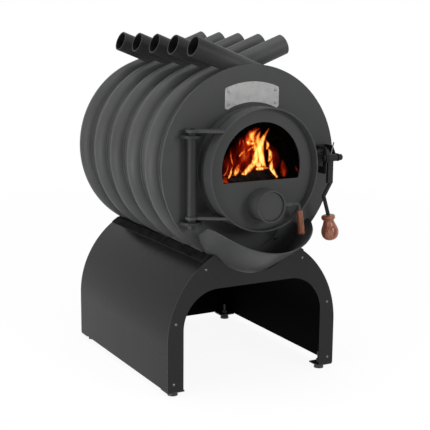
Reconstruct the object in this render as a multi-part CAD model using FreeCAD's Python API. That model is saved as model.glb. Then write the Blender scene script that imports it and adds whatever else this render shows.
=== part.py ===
import FreeCAD, Part
import math
import os

# Workshop hot-air stove: a drum of bent pipes between two round plates, lying on
# an arched sheet-metal stand, with a round window door, a wooden-knobbed latch and
# an ash lip. Millimetres. X to the right, Y to the rear, Z up from the floor.

# Stand of folded sheet
stand_width = 450.0
stand_depth = 513.0
foot_gap = 14.5
panel_sheet = 2.5
side_sheet = 2.0
leg_width = 40.0
opening_height = 227.5
spring_drop = 118.5
opening_corner = 88.0
notch_clearance = 2.0
flange_width = 26.0
saddle_sheet = 3.0
saddle_rise = 14.5
drum_clearance = 1.6
seat_clearance = 0.35
hem_sheet = 2.5
hem_angle = 36.5
screw_low = 17.4
screw_rises = (48.3, 165.3)
screw_inset = 15.5
screw_radius = 2.0
screw_head_radius = 3.6
screw_head_height = 2.4
screw_length = 8.0
hole_clearance = 0.1

# Levelling feet
foot_inset_x = 24.0
foot_inset_y = 23.0
foot_pad_radius = 12.0
foot_pad_taper = 1.5
foot_pad_height = 8.0
foot_stud_radius = 4.0
foot_stud_length = 32.5
bracket_width = 42.0
bracket_depth = 36.0
bracket_edge = 1.0
bracket_sheet = 3.0
thread_clearance = 0.05
nut_flats = 13.0
nut_height = 6.5

# Drum of bent pipes
axis_rise = 391.0
plate_setback = 27.0
plate_radius = 226.0
plate_thickness = 6.0
tube_diameter = 48.3
tube_wall = 3.2
tube_slot = 48.5
tubes_per_side = 5
tube_circle = 201.0
outlet_angle = 21.0
outlet_reach = 132.0
inlet_angle = 25.0
inlet_length = 130.0
shell_sheet = 3.0
shell_weld_gap = 0.3
end_margin = 4.0

# Smoke baffle above the fire
baffle_height = 34.0
baffle_thickness = 5.0
baffle_depth = 360.0
baffle_side_gap = 1.0
tab_width = 30.0
tab_length = 46.0
tab_thickness = 5.0

# Flue spigot with its throttle
spigot_radius = 60.0
spigot_root_radius = 62.5
spigot_wall = 2.0
spigot_length = 90.0
spigot_seat = 60.0
spigot_rise = 110.0
throttle_offset = 20.0
throttle_sheet = 2.0
throttle_clearance = 0.8
throttle_shaft_radius = 4.0
throttle_bend_radius = 10.0
throttle_handle_length = 62.0
throttle_side_reach = 8.0

# Round door opening and door
door_drop = 5.0
collar_radius = 139.5
collar_wall = 5.0
collar_front = 25.5
door_radius = 140.0
door_wall = 4.0
door_gap = 4.5
door_depth = 36.0
face_recess = 18.3
face_thickness = 4.0
flange_inner = 124.0
flange_sheet = 3.0
rope_width = 9.0
rope_inset = 1.0
rope_gap = 0.35
rim_round = 1.2

# Window
window_radius = 102.7
window_rise = 3.6
window_chord = 25.5
window_corner = 4.0
glass_overlap = 9.0
glass_thickness = 4.0
gasket_thickness = 1.0
clip_angles = (48.0, 92.0, 268.0, 312.0)
clip_width = 18.0
clip_reach = 8.0
clip_foot = 9.0
clip_sheet = 2.0

# Air inlet with its damper
air_radius = 36.5
air_wall = 3.5
air_drop = 77.8
air_front = 44.8
damper_axle_radius = 3.0
damper_axle_back = 9.5
damper_disc_clearance = 1.0
damper_sheet = 2.0
bush_radius = 7.0
bush_length = 20.0
axle_clearance = 0.05
damper_rod_reach = 13.5
damper_bend_radius = 9.0
damper_tilt = 7.6
damper_handle_gap = 7.5
damper_handle_length = 57.0
damper_handle_radius = 8.7

# Hinge on the left
hinge_x = 162.0
hinge_front = 19.0
hinge_pin_radius = 6.0
hinge_clearance = 0.05
hinge_lug_radius = 22.0
hinge_lug_sheet = 6.0
hinge_top = 74.0
hinge_bottom = -118.0
hinge_washer = 6.0
hinge_washer_radius = 10.0
hinge_play = 0.3
hinge_arm_radius = 14.5
hinge_arm_sheet = 6.0
hinge_sleeve_radius = 11.3
hinge_pin_top = 3.0
hinge_nut_height = 8.0

# Latch on the right
latch_inner_x = 168.0
latch_width = 38.0
latch_sheet = 3.0
latch_back = 3.0
latch_front = 29.5
latch_low = -26.0
latch_high = 36.0
latch_bolt_front = 51.0
latch_bolt_rise = 10.7
latch_bolt_radius = 5.0
latch_bolt_end = 9.5
latch_head_radius = 7.2
latch_head_height = 4.5
latch_nut_height = 7.5
latch_hub_radius = 8.5
latch_hub_play = 4.0
latch_clearance = 0.05
dog_arm = 20.0
dog_angle = 40.0
dog_radius = 5.0
dog_tip_x = 153.5
dog_slot_clearance = 3.0
dog_root = 12.0
latch_nose_radius = 11.5
latch_end_radius = 8.8
latch_shoulder = 29.0
latch_slope = 11.0
latch_corner = 8.0
lever_shift = 4.0
lever_bar_drop = 48.0
lever_bar_lean = 3.0
lever_kink_drop = 78.0
lever_kink_lean = 15.0
lever_end_drop = 119.0
lever_end_lean = 2.0
lever_bar_width = 14.0
lever_bar_depth = 8.0
lever_rod_radius = 4.5
knob_gap = 5.0
knob_tilt = 9.5
knob_length = 61.0
knob_collar_radius = 16.3
knob_neck_radius = 12.6
knob_bulb_radius = 20.5
knob_socket = 22.0
knob_clearance = 0.05
hub_pin_radius = 1.5
hub_pin_depth = 2.5
hub_pin_reach = 37.0
hub_pin_lean = 14.0
strike_gap = 2.0
strike_height = 18.0

# Nameplate above the door
nameplate_half_width = 70.5
nameplate_outer = 188.0
nameplate_inner = 142.0
nameplate_sheet = 1.5
nameplate_corner = 6.0
rivet_inset = 9.5
rivet_radius = 2.0
rivet_head_radius = 3.2
rivet_head_height = 1.6
rivet_length = 3.0

# Ash lip below the door
lip_radius = 144.7
lip_sheet = 3.0
lip_tilt = 29.6
lip_centre = -93.3
lip_half_angle = 69.6
lip_reach = 160.8
lip_side_reach = 6.7
lip_flange = 52.0
lip_screw_places = ((-69.0, -176.0), (69.0, -176.0))
lip_screw_radius = 3.0
lip_screw_head = 5.0
lip_screw_head_height = 3.0
lip_screw_length = 8.0

# Positions that follow from the sizes
tube_radius = tube_diameter / 2
drum_length = 2 * end_margin + 2 * tubes_per_side * tube_slot
lip_slope = math.radians(lip_tilt)
lip_ahead = lip_reach * math.cos(lip_slope)
drum_behind = plate_thickness + drum_length + plate_thickness + spigot_length
plate_y = (lip_ahead - drum_behind) / 2
plate_back = plate_y + plate_thickness
rear_y = plate_back + drum_length
panel_y = plate_y - plate_setback
panel_back = panel_y + panel_sheet
stand_rear = panel_y + stand_depth
rear_panel_y = stand_rear - panel_sheet
panel_z = foot_gap
crown_z = panel_z + opening_height - spring_drop
half_width = stand_width / 2
axis_z = crown_z + axis_rise
drum_cut = plate_radius + drum_clearance
shell_outer = tube_circle + shell_sheet / 2
shell_inner = tube_circle - shell_sheet / 2
door_z = axis_z - door_drop
window_z = door_z + window_rise
collar_y = plate_y - collar_front
ring_rear = collar_y - door_gap
ring_front = ring_rear - door_depth
face_y = ring_front + face_recess
face_back = face_y + face_thickness
air_z = door_z - air_drop
air_y = face_y - air_front
axle_y = air_y + damper_axle_back
air_inner = air_radius - air_wall
hinge_y = plate_y - hinge_front
bolt_y = plate_y - latch_bolt_front
bolt_z = axis_z + latch_bolt_rise
latch_outer_x = latch_inner_x + latch_width
throttle_y = rear_y + plate_thickness + throttle_offset
spigot_z = axis_z + spigot_rise
spigot_inner = spigot_radius - spigot_wall


def vec(x, y, z):
    return FreeCAD.Vector(x, y, z)


def block(x0, x1, y0, y1, z0, z1):
    return Part.makeBox(x1 - x0, y1 - y0, z1 - z0, vec(x0, y0, z0))


def rod(radius, start, end):
    return Part.makeCylinder(radius, end.sub(start).Length, start, end.sub(start))


def disc(radius, y0, y1, x, z):
    return Part.makeCylinder(radius, y1 - y0, vec(x, y0, z), vec(0, 1, 0))


def ring(outer, inner, y0, y1, x, z):
    return disc(outer, y0, y1, x, z).cut(disc(inner, y0 - 1, y1 + 1, x, z))


def joined(shapes):
    result = shapes[0]
    for shape in shapes[1:]:
        result = result.fuse(shape)
    return result.removeSplitter()


def mirrored(shape):
    return shape.mirror(vec(0, 0, 0), vec(1, 0, 0))


def turned_profile(points, start, direction):
    # A turned piece: (radius, distance) points about its own axis.
    outline = [vec(r, 0, t) for r, t in points]
    face = Part.Face(Part.makePolygon(outline + [outline[0]]))
    solid = face.revolve(vec(0, 0, 0), vec(0, 0, 1), 360)
    solid.Placement = FreeCAD.Placement(start, FreeCAD.Rotation(vec(0, 0, 1), direction))
    return solid


def hexagon_nut(flats, height, hole, x, y, z):
    corners = []
    for i in range(7):
        angle = math.radians(60 * i)
        reach = flats / math.sqrt(3)
        corners.append(vec(x + reach * math.cos(angle), y + reach * math.sin(angle), z))
    nut = Part.Face(Part.makePolygon(corners)).extrude(vec(0, 0, height))
    return nut.cut(Part.makeCylinder(hole, height + 2, vec(x, y, z - 1)))


def domed_screw(shank_radius, head_radius, head_height, length, x, y, z, facing):
    # A screw or rivet seated on a vertical face at y; facing is -1 to the front, 1 to the rear.
    dome = (head_radius ** 2 + head_height ** 2) / (2 * head_height)
    half_turn = 0.5 * math.asin(head_radius / dome)
    rise = head_height - dome + dome * math.cos(half_turn)
    middle = vec(x + dome * math.sin(half_turn), y + facing * rise, z)
    crown = vec(x, y + facing * head_height, z)
    tip = y - facing * length
    outline = [crown, vec(x, tip, z), vec(x + shank_radius, tip, z), vec(x + shank_radius, y, z)]
    outline.append(vec(x + head_radius, y, z))
    edges = Part.makePolygon(outline).Edges
    edges.append(Part.Arc(outline[-1], middle, crown).toShape())
    return Part.Face(Part.Wire(edges)).revolve(vec(x, y, z), vec(0, 1, 0), 360)


lip_origin = vec(0, plate_y, axis_z + lip_centre)
lip_axis = vec(0, -math.cos(lip_slope), math.sin(lip_slope))
lip_up = vec(0, math.sin(lip_slope), math.cos(lip_slope))


def lip_cylinder(radius):
    # The ash lip is rolled about an axis that rises forward out of the front plate.
    start = lip_origin.sub(lip_axis * lip_radius)
    return Part.makeCylinder(radius, lip_reach + 2 * lip_radius, start, lip_axis)


def save(name, shape):
    shape.exportStep("parts/" + name + ".step")


os.makedirs("parts", exist_ok=True)


# Stand: arched front and rear panels, two side sheets and a saddle plate

def arch(inset, y0, y1):
    half = half_width - inset
    legs = block(-half, half, y0, y1, panel_z, crown_z)
    crown = disc(half, y0, y1, 0, crown_z)
    crown = crown.common(block(-half, half, y0, y1, crown_z, crown_z + half))
    return joined([legs, crown])


def opening(y0, y1):
    half = half_width - leg_width
    top = panel_z + opening_height
    inner = half - opening_corner
    shapes = [block(-half, half, y0, y1, panel_z - 1, top - opening_corner)]
    shapes.append(block(-inner, inner, y0, y1, panel_z - 1, top))
    for side in (-1, 1):
        shapes.append(disc(opening_corner, y0, y1, side * inner, top - opening_corner))
    return joined(shapes)


def notch():
    # Room for the ash lip, which passes out through the front of the stand.
    ahead = block(-half_width, half_width, panel_y - 1, plate_y + notch_clearance, 0, axis_z)
    return lip_cylinder(lip_radius + notch_clearance).common(ahead)


def screw_places():
    # One low on each leg, the rest on the crown, all at one distance from the edge.
    reach = half_width - screw_inset
    places = [(-reach, panel_z + screw_low), (reach, panel_z + screw_low)]
    for rise in screw_rises:
        x = math.sqrt(reach ** 2 - rise ** 2)
        places.extend([(-x, crown_z + rise), (x, crown_z + rise)])
    return places


def screw_holes(y0, y1):
    return [disc(screw_radius + hole_clearance, y0, y1, x, z) for x, z in screw_places()]


def last_left_tube_y():
    return plate_back + end_margin + tube_slot * (2 * tubes_per_side - 0.5)


def tube_core(radius, y, extra):
    # The left pipe as a solid bar: slanted inlet, round bend, slanted outlet.
    low = math.radians(inlet_angle)
    high = math.radians(outlet_angle)
    start = vec(-tube_circle * math.sin(low), y, axis_z - tube_circle * math.cos(low))
    end = vec(-tube_circle * math.sin(high), y, axis_z + tube_circle * math.cos(high))
    down = vec(math.cos(low), 0, -math.sin(low))
    up = vec(math.cos(high), 0, math.sin(high))
    rise = (outlet_reach + tube_circle * math.sin(high)) / math.cos(high)
    circle = Part.Face(Part.Wire(Part.makeCircle(radius, start, down)))
    bend = circle.revolve(vec(0, y, axis_z), vec(0, 1, 0), 180 - inlet_angle - outlet_angle)
    inlet = Part.makeCylinder(radius, inlet_length + extra, start, down)
    outlet = Part.makeCylinder(radius, rise + extra, end, up)
    return bend.fuse(inlet).fuse(outlet)


def front_panel():
    panel = arch(0, panel_y, panel_back)
    panel = panel.cut(opening(panel_y - 1, panel_back + 1))
    panel = panel.cut(notch())
    for hole in screw_holes(panel_y - 1, panel_back + 1):
        panel = panel.cut(hole)
    return panel


def rear_panel():
    panel = arch(0, rear_panel_y, stand_rear)
    panel = panel.cut(disc(shell_outer + seat_clearance, rear_panel_y - 1, stand_rear + 1, 0, axis_z))
    panel = panel.cut(tube_core(tube_radius + seat_clearance, last_left_tube_y(), 2 * tube_radius))
    for hole in screw_holes(rear_panel_y - 1, stand_rear + 1):
        panel = panel.cut(hole)
    return max(panel.Solids, key=lambda solid: solid.Volume)


def hem():
    # The side sheet's upper edge beside the drum, folded back on itself.
    reach = half_width * math.sin(math.radians(hem_angle))
    outer = disc(half_width + hem_sheet, panel_back, rear_panel_y, 0, crown_z)
    outer = outer.cut(disc(half_width - side_sheet, panel_back - 1, rear_panel_y + 1, 0, crown_z))
    return outer.common(block(0, reach, panel_back, rear_panel_y, crown_z, axis_z))


def side_panel():
    sheet = arch(0, panel_back, rear_panel_y)
    sheet = sheet.cut(arch(side_sheet, panel_back - 1, rear_panel_y + 1))
    flanges = arch(side_sheet, panel_back, rear_panel_y)
    flanges = flanges.cut(arch(side_sheet + flange_width, panel_back - 1, rear_panel_y + 1))
    inside = block(-half_width, half_width, panel_back + side_sheet, rear_panel_y - side_sheet, 0, axis_z)
    shape = joined([sheet, flanges.cut(inside), hem()]).cut(notch())
    shape = shape.cut(disc(drum_cut, panel_back - 1, rear_panel_y + 1, 0, axis_z))
    shape = shape.common(block(0, half_width, panel_back, rear_panel_y, 0, axis_z))
    for hole in screw_holes(panel_back - 1, rear_panel_y + 1):
        shape = shape.cut(hole)
    return max(shape.Solids, key=lambda solid: solid.Volume)


def saddle_plate():
    y0 = plate_back + (end_margin - saddle_sheet) / 2
    plate = arch(side_sheet, y0, y0 + saddle_sheet)
    y1 = y0 + saddle_sheet
    low = panel_z + opening_height + saddle_rise
    plate = plate.cut(block(-half_width, half_width, y0 - 1, y1 + 1, 0, low))
    return plate.cut(disc(shell_outer + seat_clearance, y0 - 1, y1 + 1, 0, axis_z))


def stand_screws():
    sizes = (screw_radius, screw_head_radius, screw_head_height, screw_length)
    front = [domed_screw(*sizes, x, panel_y, z, -1) for x, z in screw_places()]
    rear = [domed_screw(*sizes, x, stand_rear, z, 1) for x, z in screw_places()]
    return Part.makeCompound(front + rear)


save("stand_front_panel", front_panel())
save("stand_rear_panel", rear_panel())
save("stand_side_right", side_panel())
save("stand_side_left", mirrored(side_panel()))
save("stand_saddle_plate", saddle_plate())
save("stand_screws", stand_screws())


# Feet: a pad on a threaded stud through a corner bracket, with a lock nut

foot_x = half_width - foot_inset_x
foot_front = panel_y + foot_inset_y
foot_rear = stand_rear - foot_inset_y
foot_places = {
    "front_left": (-foot_x, foot_front),
    "front_right": (foot_x, foot_front),
    "rear_left": (-foot_x, foot_rear),
    "rear_right": (foot_x, foot_rear),
}


def foot_bracket(x, y):
    # A corner plate welded under the lower edges of the panel and the side sheet.
    outer = half_width - bracket_edge
    x0 = outer - bracket_width if x > 0 else -outer
    front = panel_y + bracket_edge
    rear = stand_rear - bracket_edge - bracket_depth
    y0 = front if y < 0 else rear
    low = panel_z - bracket_sheet
    plate = block(x0, x0 + bracket_width, y0, y0 + bracket_depth, low, panel_z)
    return plate.cut(rod(foot_stud_radius + thread_clearance, vec(x, y, 0), vec(x, y, axis_z)))


def lock_nut(x, y):
    hole = foot_stud_radius + thread_clearance
    return hexagon_nut(nut_flats, nut_height, hole, x, y, panel_z)


def foot(x, y):
    top = vec(x, y, foot_pad_height)
    upper = foot_pad_radius - foot_pad_taper
    pad = Part.makeCone(foot_pad_radius, upper, foot_pad_height, vec(x, y, 0))
    stud = rod(foot_stud_radius, top, top.add(vec(0, 0, foot_stud_length)))
    return joined([pad, stud])


save("foot_brackets", Part.makeCompound([foot_bracket(x, y) for x, y in foot_places.values()]))
save("foot_lock_nuts", Part.makeCompound([lock_nut(x, y) for x, y in foot_places.values()]))
for place, (x, y) in foot_places.items():
    save("foot_" + place, foot(x, y))


# Drum: round front and rear plates, shell rings, bent pipes and shell strips

def front_plate():
    plate = disc(plate_radius, plate_y, plate_back, 0, axis_z)
    plate = plate.cut(disc(collar_radius - collar_wall, plate_y - 1, plate_back + 1, 0, door_z))
    hole = lip_screw_radius + hole_clearance
    for x, z in lip_screw_places:
        plate = plate.cut(disc(hole, plate_y - 1, plate_back + 1, x, axis_z + z))
    for x, z in rivet_places():
        plate = plate.cut(disc(rivet_radius + hole_clearance, plate_y - 1, plate_back + 1, x, z))
    return plate


def rear_plate():
    # The rear plate is flush with the shell, so the last pipe hides it from the front.
    plate = disc(shell_outer, rear_y, rear_y + plate_thickness, 0, axis_z)
    hole = spigot_root_radius + hole_clearance
    return plate.cut(disc(hole, rear_y - 1, rear_y + plate_thickness + 1, 0, spigot_z))


def shell_rings():
    front = ring(shell_outer, shell_inner, plate_back, plate_back + end_margin, 0, axis_z)
    rear = ring(shell_outer, shell_inner, rear_y - end_margin, rear_y, 0, axis_z)
    return Part.makeCompound([front, rear])


def slot_y(index):
    return plate_back + end_margin + tube_slot * (index + 0.5)


def tube(y):
    bore = tube_core(tube_radius - tube_wall, y, 2)
    return tube_core(tube_radius, y, 0).cut(bore).removeSplitter()


def shell_strip(y):
    # Left wall between two left pipes, ending where the opposite pipe leaves the drum.
    meet = math.degrees(math.acos((tube_circle - tube_radius - shell_weld_gap) / shell_outer))
    low = meet - inlet_angle
    high = meet - outlet_angle
    y0 = y - tube_slot / 2
    y1 = y + tube_slot / 2
    corners = [vec(0, y0, axis_z - shell_outer), vec(0, y1, axis_z - shell_outer)]
    corners.extend([vec(0, y1, axis_z - shell_inner), vec(0, y0, axis_z - shell_inner)])
    face = Part.Face(Part.makePolygon(corners + [corners[0]]))
    strip = face.revolve(vec(0, y, axis_z), vec(0, 1, 0), 180 - low - high)
    strip.rotate(vec(0, y, axis_z), vec(0, 1, 0), low)
    return strip


def rivet_places():
    x = nameplate_half_width - rivet_inset
    low = nameplate_inner + rivet_inset
    high = nameplate_outer - rivet_inset
    places = []
    for side in (-x, x):
        places.append((side, axis_z + math.sqrt(low ** 2 - x ** 2)))
        places.append((side, axis_z + math.sqrt(high ** 2 - x ** 2)))
    return places


save("front_plate", front_plate())
save("rear_plate", rear_plate())
save("shell_rings", shell_rings())
for number in range(tubes_per_side):
    save("tube_right_" + str(number + 1), mirrored(tube(slot_y(2 * number))))
    save("tube_left_" + str(number + 1), tube(slot_y(2 * number + 1)))
left_strips = [shell_strip(slot_y(2 * number)) for number in range(tubes_per_side)]
right_strips = [mirrored(shell_strip(slot_y(2 * number + 1))) for number in range(tubes_per_side)]
save("shell_strips_left", Part.makeCompound(left_strips))
save("shell_strips_right", Part.makeCompound(right_strips))


# Smoke baffle resting on tabs welded to the shell strips

def smoke_baffle():
    low = axis_z + baffle_height
    high = low + baffle_thickness
    reach = tube_circle - tube_radius - baffle_side_gap
    half = math.sqrt(reach ** 2 - (baffle_height + baffle_thickness) ** 2)
    return block(-half, half, rear_y - baffle_depth, rear_y, low, high)


def baffle_tab(side, index):
    y = slot_y(index)
    top = axis_z + baffle_height
    bar = block(0, shell_outer, y - tab_width / 2, y + tab_width / 2, top - tab_thickness, top)
    bar = bar.common(disc(shell_inner, y - tube_slot, y + tube_slot, 0, axis_z))
    bar = bar.cut(block(0, shell_inner - tab_length, y - tube_slot, y + tube_slot, 0, 2 * axis_z))
    return bar if side > 0 else mirrored(bar)


save("smoke_baffle", smoke_baffle())
last_slot = 2 * tubes_per_side - 1
tabs = [baffle_tab(-1, last_slot - 5), baffle_tab(-1, last_slot - 1)]
tabs.extend([baffle_tab(1, last_slot - 4), baffle_tab(1, last_slot)])
save("baffle_tabs", Part.makeCompound(tabs))


# Flue spigot with a throttle plate on a cranked shaft

def flue_spigot():
    # The root is wider than the seat, so a pushed-on stove pipe stops at the shoulder.
    end = rear_y + plate_thickness + spigot_length
    shoulder = end - spigot_seat
    root = ring(spigot_root_radius, spigot_inner, rear_y, shoulder, 0, spigot_z)
    seat = ring(spigot_radius, spigot_inner, shoulder, end, 0, spigot_z)
    hole = throttle_shaft_radius + axle_clearance
    reach = vec(2 * spigot_root_radius, 0, 0)
    middle = vec(0, throttle_y, spigot_z)
    return joined([root, seat]).cut(rod(hole, middle.sub(reach), middle.add(reach)))


def throttle_plate():
    radius = spigot_inner - throttle_clearance
    y1 = throttle_y - throttle_shaft_radius
    plate = disc(radius, y1 - throttle_sheet, y1, 0, spigot_z)
    return plate.cut(block(-radius, radius, y1 - 9, y1 + 9, spigot_z + 0.72 * radius, spigot_z + radius))


def throttle_shaft():
    bend_x = spigot_root_radius + throttle_side_reach
    turn = vec(bend_x, throttle_y, spigot_z - throttle_bend_radius)
    start = vec(bend_x, throttle_y, spigot_z)
    far_x = -spigot_root_radius - throttle_shaft_radius
    straight = rod(throttle_shaft_radius, vec(far_x, throttle_y, spigot_z), start)
    circle = Part.Face(Part.Wire(Part.makeCircle(throttle_shaft_radius, start, vec(1, 0, 0))))
    bend = circle.revolve(turn, vec(0, 1, 0), 90)
    top = turn.add(vec(throttle_bend_radius, 0, 0))
    handle = rod(throttle_shaft_radius, top, top.sub(vec(0, 0, throttle_handle_length)))
    return joined([straight, bend, handle])


save("flue_spigot", flue_spigot())
save("throttle_plate", throttle_plate())
save("throttle_shaft", throttle_shaft())


# Door collar on the front plate

save("door_collar", ring(collar_radius, collar_radius - collar_wall, collar_y, plate_y, 0, door_z))


# Bare nameplate, riveted above the door

def nameplate():
    y0 = plate_y - nameplate_sheet
    plate = ring(nameplate_outer, nameplate_inner, y0, plate_y, 0, axis_z)
    sides = block(-nameplate_half_width, nameplate_half_width, y0, plate_y, axis_z, axis_z + plate_radius)
    plate = plate.common(sides)
    corners = [e for e in plate.Edges if e.BoundBox.YLength > 0.9 * nameplate_sheet]
    corners = [e for e in corners if e.BoundBox.XLength < 0.1]
    plate = plate.makeFillet(nameplate_corner, corners)
    for x, z in rivet_places():
        plate = plate.cut(disc(rivet_radius + hole_clearance, y0 - 1, plate_y + 1, x, z))
    return plate


def rivet(x, z):
    sizes = (rivet_radius, rivet_head_radius, rivet_head_height, nameplate_sheet + rivet_length)
    return domed_screw(*sizes, x, plate_y - nameplate_sheet, z, -1)


save("nameplate", nameplate())
save("nameplate_rivets", Part.makeCompound([rivet(x, z) for x, z in rivet_places()]))


# Ash lip: a rolled sheet scoop with a flange screwed to the front plate

def lip_edge_point(angle, depth):
    turn = math.radians(angle)
    share = math.sqrt(max(math.cos(0.5 * math.pi * angle / lip_half_angle), 0))
    reach = lip_side_reach + (lip_reach - lip_side_reach) * share
    along = reach - lip_radius * math.cos(turn) * math.tan(lip_slope)
    point = lip_origin.add(lip_axis * along).sub(lip_up * depth)
    return point.add(vec(lip_radius * math.sin(turn), 0, 0))


def lip_outline_prism():
    depth = lip_radius + 5
    steps = 24
    points = [lip_edge_point(lip_half_angle * (2 * i / steps - 1), depth) for i in range(steps + 1)]
    curve = Part.BSplineCurve()
    curve.interpolate(points)
    back = lip_axis * (2 * lip_radius)
    corners = [points[-1], points[-1].sub(back), points[0].sub(back), points[0]]
    face = Part.Face(Part.Wire([curve.toShape()] + Part.makePolygon(corners).Edges))
    return face.extrude(lip_up * (depth - lip_radius * math.cos(math.radians(lip_half_angle))))


def ash_lip():
    outline = lip_outline_prism()
    sheet = lip_cylinder(lip_radius).cut(lip_cylinder(lip_radius - lip_sheet)).common(outline)
    behind = block(-half_width, half_width, plate_y, plate_y + half_width * 2, 0, 2 * axis_z)
    sheet = sheet.cut(behind)
    band = lip_cylinder(lip_radius - lip_sheet / 2).cut(lip_cylinder(lip_radius - lip_flange))
    band = band.common(outline)
    band = band.common(block(-half_width, half_width, plate_y - lip_sheet, plate_y, 0, 2 * axis_z))
    shape = joined([sheet, band])
    for x, z in lip_screw_places:
        shape = shape.cut(disc(lip_screw_radius + hole_clearance, plate_y - 20, plate_y + 1, x, axis_z + z))
    return shape


def lip_screw(x, z):
    sizes = (lip_screw_radius, lip_screw_head, lip_screw_head_height, lip_screw_length)
    return domed_screw(*sizes, x, plate_y - lip_sheet, axis_z + z, -1)


save("ash_lip", ash_lip())
save("ash_lip_screws", Part.makeCompound([lip_screw(x, z) for x, z in lip_screw_places]))


# Hinge: two lugs on the front plate, a pin, a spacer sleeve and washers

pin_foot = vec(-hinge_x, hinge_y, 0)
lug_levels = (axis_z + hinge_top, axis_z + hinge_bottom)
arm_rise = hinge_lug_sheet / 2 + hinge_washer + hinge_play + hinge_arm_sheet / 2
arm_levels = [level + arm_rise for level in lug_levels]


def upright(radius, z0, z1):
    return rod(radius, pin_foot.add(vec(0, 0, z0)), pin_foot.add(vec(0, 0, z1)))


def hinge_lug(level):
    z0 = level - hinge_lug_sheet / 2
    z1 = level + hinge_lug_sheet / 2
    left = -hinge_x - hinge_lug_radius
    right = -hinge_x + hinge_lug_radius
    tail = block(left, right, hinge_y, plate_y, z0, z1)
    end = upright(hinge_lug_radius, z0, z1)
    lug = joined([tail, end.common(block(left, right, hinge_y - hinge_lug_radius, plate_y, z0, z1))])
    return lug.cut(upright(hinge_pin_radius + hinge_clearance, z0 - 1, z1 + 1))


def hinge_washers():
    washers = []
    for level in lug_levels:
        z0 = level + hinge_lug_sheet / 2
        z1 = z0 + hinge_washer
        bore = upright(hinge_pin_radius + hinge_clearance, z0 - 1, z1 + 1)
        washers.append(upright(hinge_washer_radius, z0, z1).cut(bore))
    return Part.makeCompound(washers)


def hinge_sleeve():
    z0 = arm_levels[1] + hinge_arm_sheet / 2 + hinge_play
    z1 = lug_levels[0] - hinge_lug_sheet / 2
    sleeve = upright(hinge_sleeve_radius, z0, z1)
    return sleeve.cut(upright(hinge_pin_radius + hinge_clearance, z0 - 1, z1 + 1))


def hinge_pin():
    low = lug_levels[1] - hinge_lug_sheet / 2
    top = arm_levels[0] + hinge_arm_sheet / 2 + hinge_pin_top
    pin = upright(hinge_pin_radius, low, top)
    nut = hexagon_nut(3 * hinge_pin_radius, hinge_nut_height, 1, -hinge_x, hinge_y, low - hinge_nut_height)
    end = upright(hinge_pin_radius, low - hinge_nut_height - 3, low)
    return joined([pin, nut, end])


save("hinge_lugs", Part.makeCompound([hinge_lug(level) for level in lug_levels]))
save("hinge_washers", hinge_washers())
save("hinge_sleeve", hinge_sleeve())
save("hinge_pin", hinge_pin())


# Door: ring with a rear flange, recessed face, rope seal, window, air inlet and arms

def window_outline(grow, y0, y1):
    round_part = disc(window_radius + grow, y0, y1, 0, window_z)
    reach = window_radius + grow + 1
    low = door_z - window_chord - grow
    return round_part.common(block(-reach, reach, y0, y1, low, window_z + reach))


def door_ring():
    wall = ring(door_radius, door_radius - door_wall, ring_front, ring_rear, 0, door_z)
    rim = [e for e in wall.Edges if abs(e.BoundBox.YMax - ring_front) < 0.01 and e.BoundBox.YLength < 0.01]
    wall = wall.makeFillet(rim_round, rim)
    flange = ring(door_radius - door_wall, flange_inner, ring_rear - flange_sheet, ring_rear, 0, door_z)
    return joined([wall, flange])


def door_face():
    plate = disc(door_radius - door_wall, face_y, face_back, 0, door_z)
    window = window_outline(0, face_y - 1, face_back + 1)
    corners = [e for e in window.Edges if e.BoundBox.XLength < 0.01 and e.BoundBox.ZLength < 0.01]
    corners = [e for e in corners if e.CenterOfMass.z < door_z]
    plate = plate.cut(window.makeFillet(window_corner, corners))
    return plate.cut(disc(air_radius + hole_clearance, face_y - 1, face_back + 1, 0, air_z))


def rope_seal():
    outer = door_radius - rope_inset
    return ring(outer, outer - rope_width, ring_rear, collar_y - rope_gap, 0, door_z)


def glass_gasket():
    y1 = face_back + gasket_thickness
    band = window_outline(glass_overlap - 1, face_back, y1)
    return band.cut(window_outline(1, face_back - 1, y1 + 1))


def window_glass():
    y0 = face_back + gasket_thickness
    return window_outline(glass_overlap, y0, y0 + glass_thickness)


def glass_clip(angle):
    edge = window_radius + glass_overlap + 0.5
    back = face_back + gasket_thickness + glass_thickness
    half = clip_width / 2
    z0 = window_z + edge
    post = block(-half, half, face_back, back + clip_sheet, z0, z0 + clip_foot)
    finger = block(-half, half, back, back + clip_sheet, z0 - clip_reach, z0 + clip_foot)
    clip = joined([post, finger])
    middle = z0 + clip_foot / 2
    clip = clip.cut(disc(screw_radius + hole_clearance, face_back - 1, back + 9, 0, middle))
    sizes = (screw_radius, screw_head_radius, screw_head_height, back + clip_sheet - face_back)
    screw = domed_screw(*sizes, 0, back + clip_sheet, middle, 1)
    pair = Part.makeCompound([clip, screw])
    pair.rotate(vec(0, 0, window_z), vec(0, 1, 0), angle)
    return pair


def air_inlet():
    pipe = ring(air_radius, air_inner, air_y, face_back, 0, air_z)
    start = vec(math.sqrt(air_radius ** 2 - bush_radius ** 2), axle_y, air_z)
    bush = rod(bush_radius, start, vec(air_radius + bush_length, axle_y, air_z))
    bush = bush.cut(disc(air_radius, axle_y - 2 * bush_radius, axle_y + 2 * bush_radius, 0, air_z))
    reach = air_radius + 2 * bush_length
    hole = damper_axle_radius + axle_clearance
    return joined([pipe, bush]).cut(rod(hole, vec(-reach, axle_y, air_z), vec(reach, axle_y, air_z)))


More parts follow.
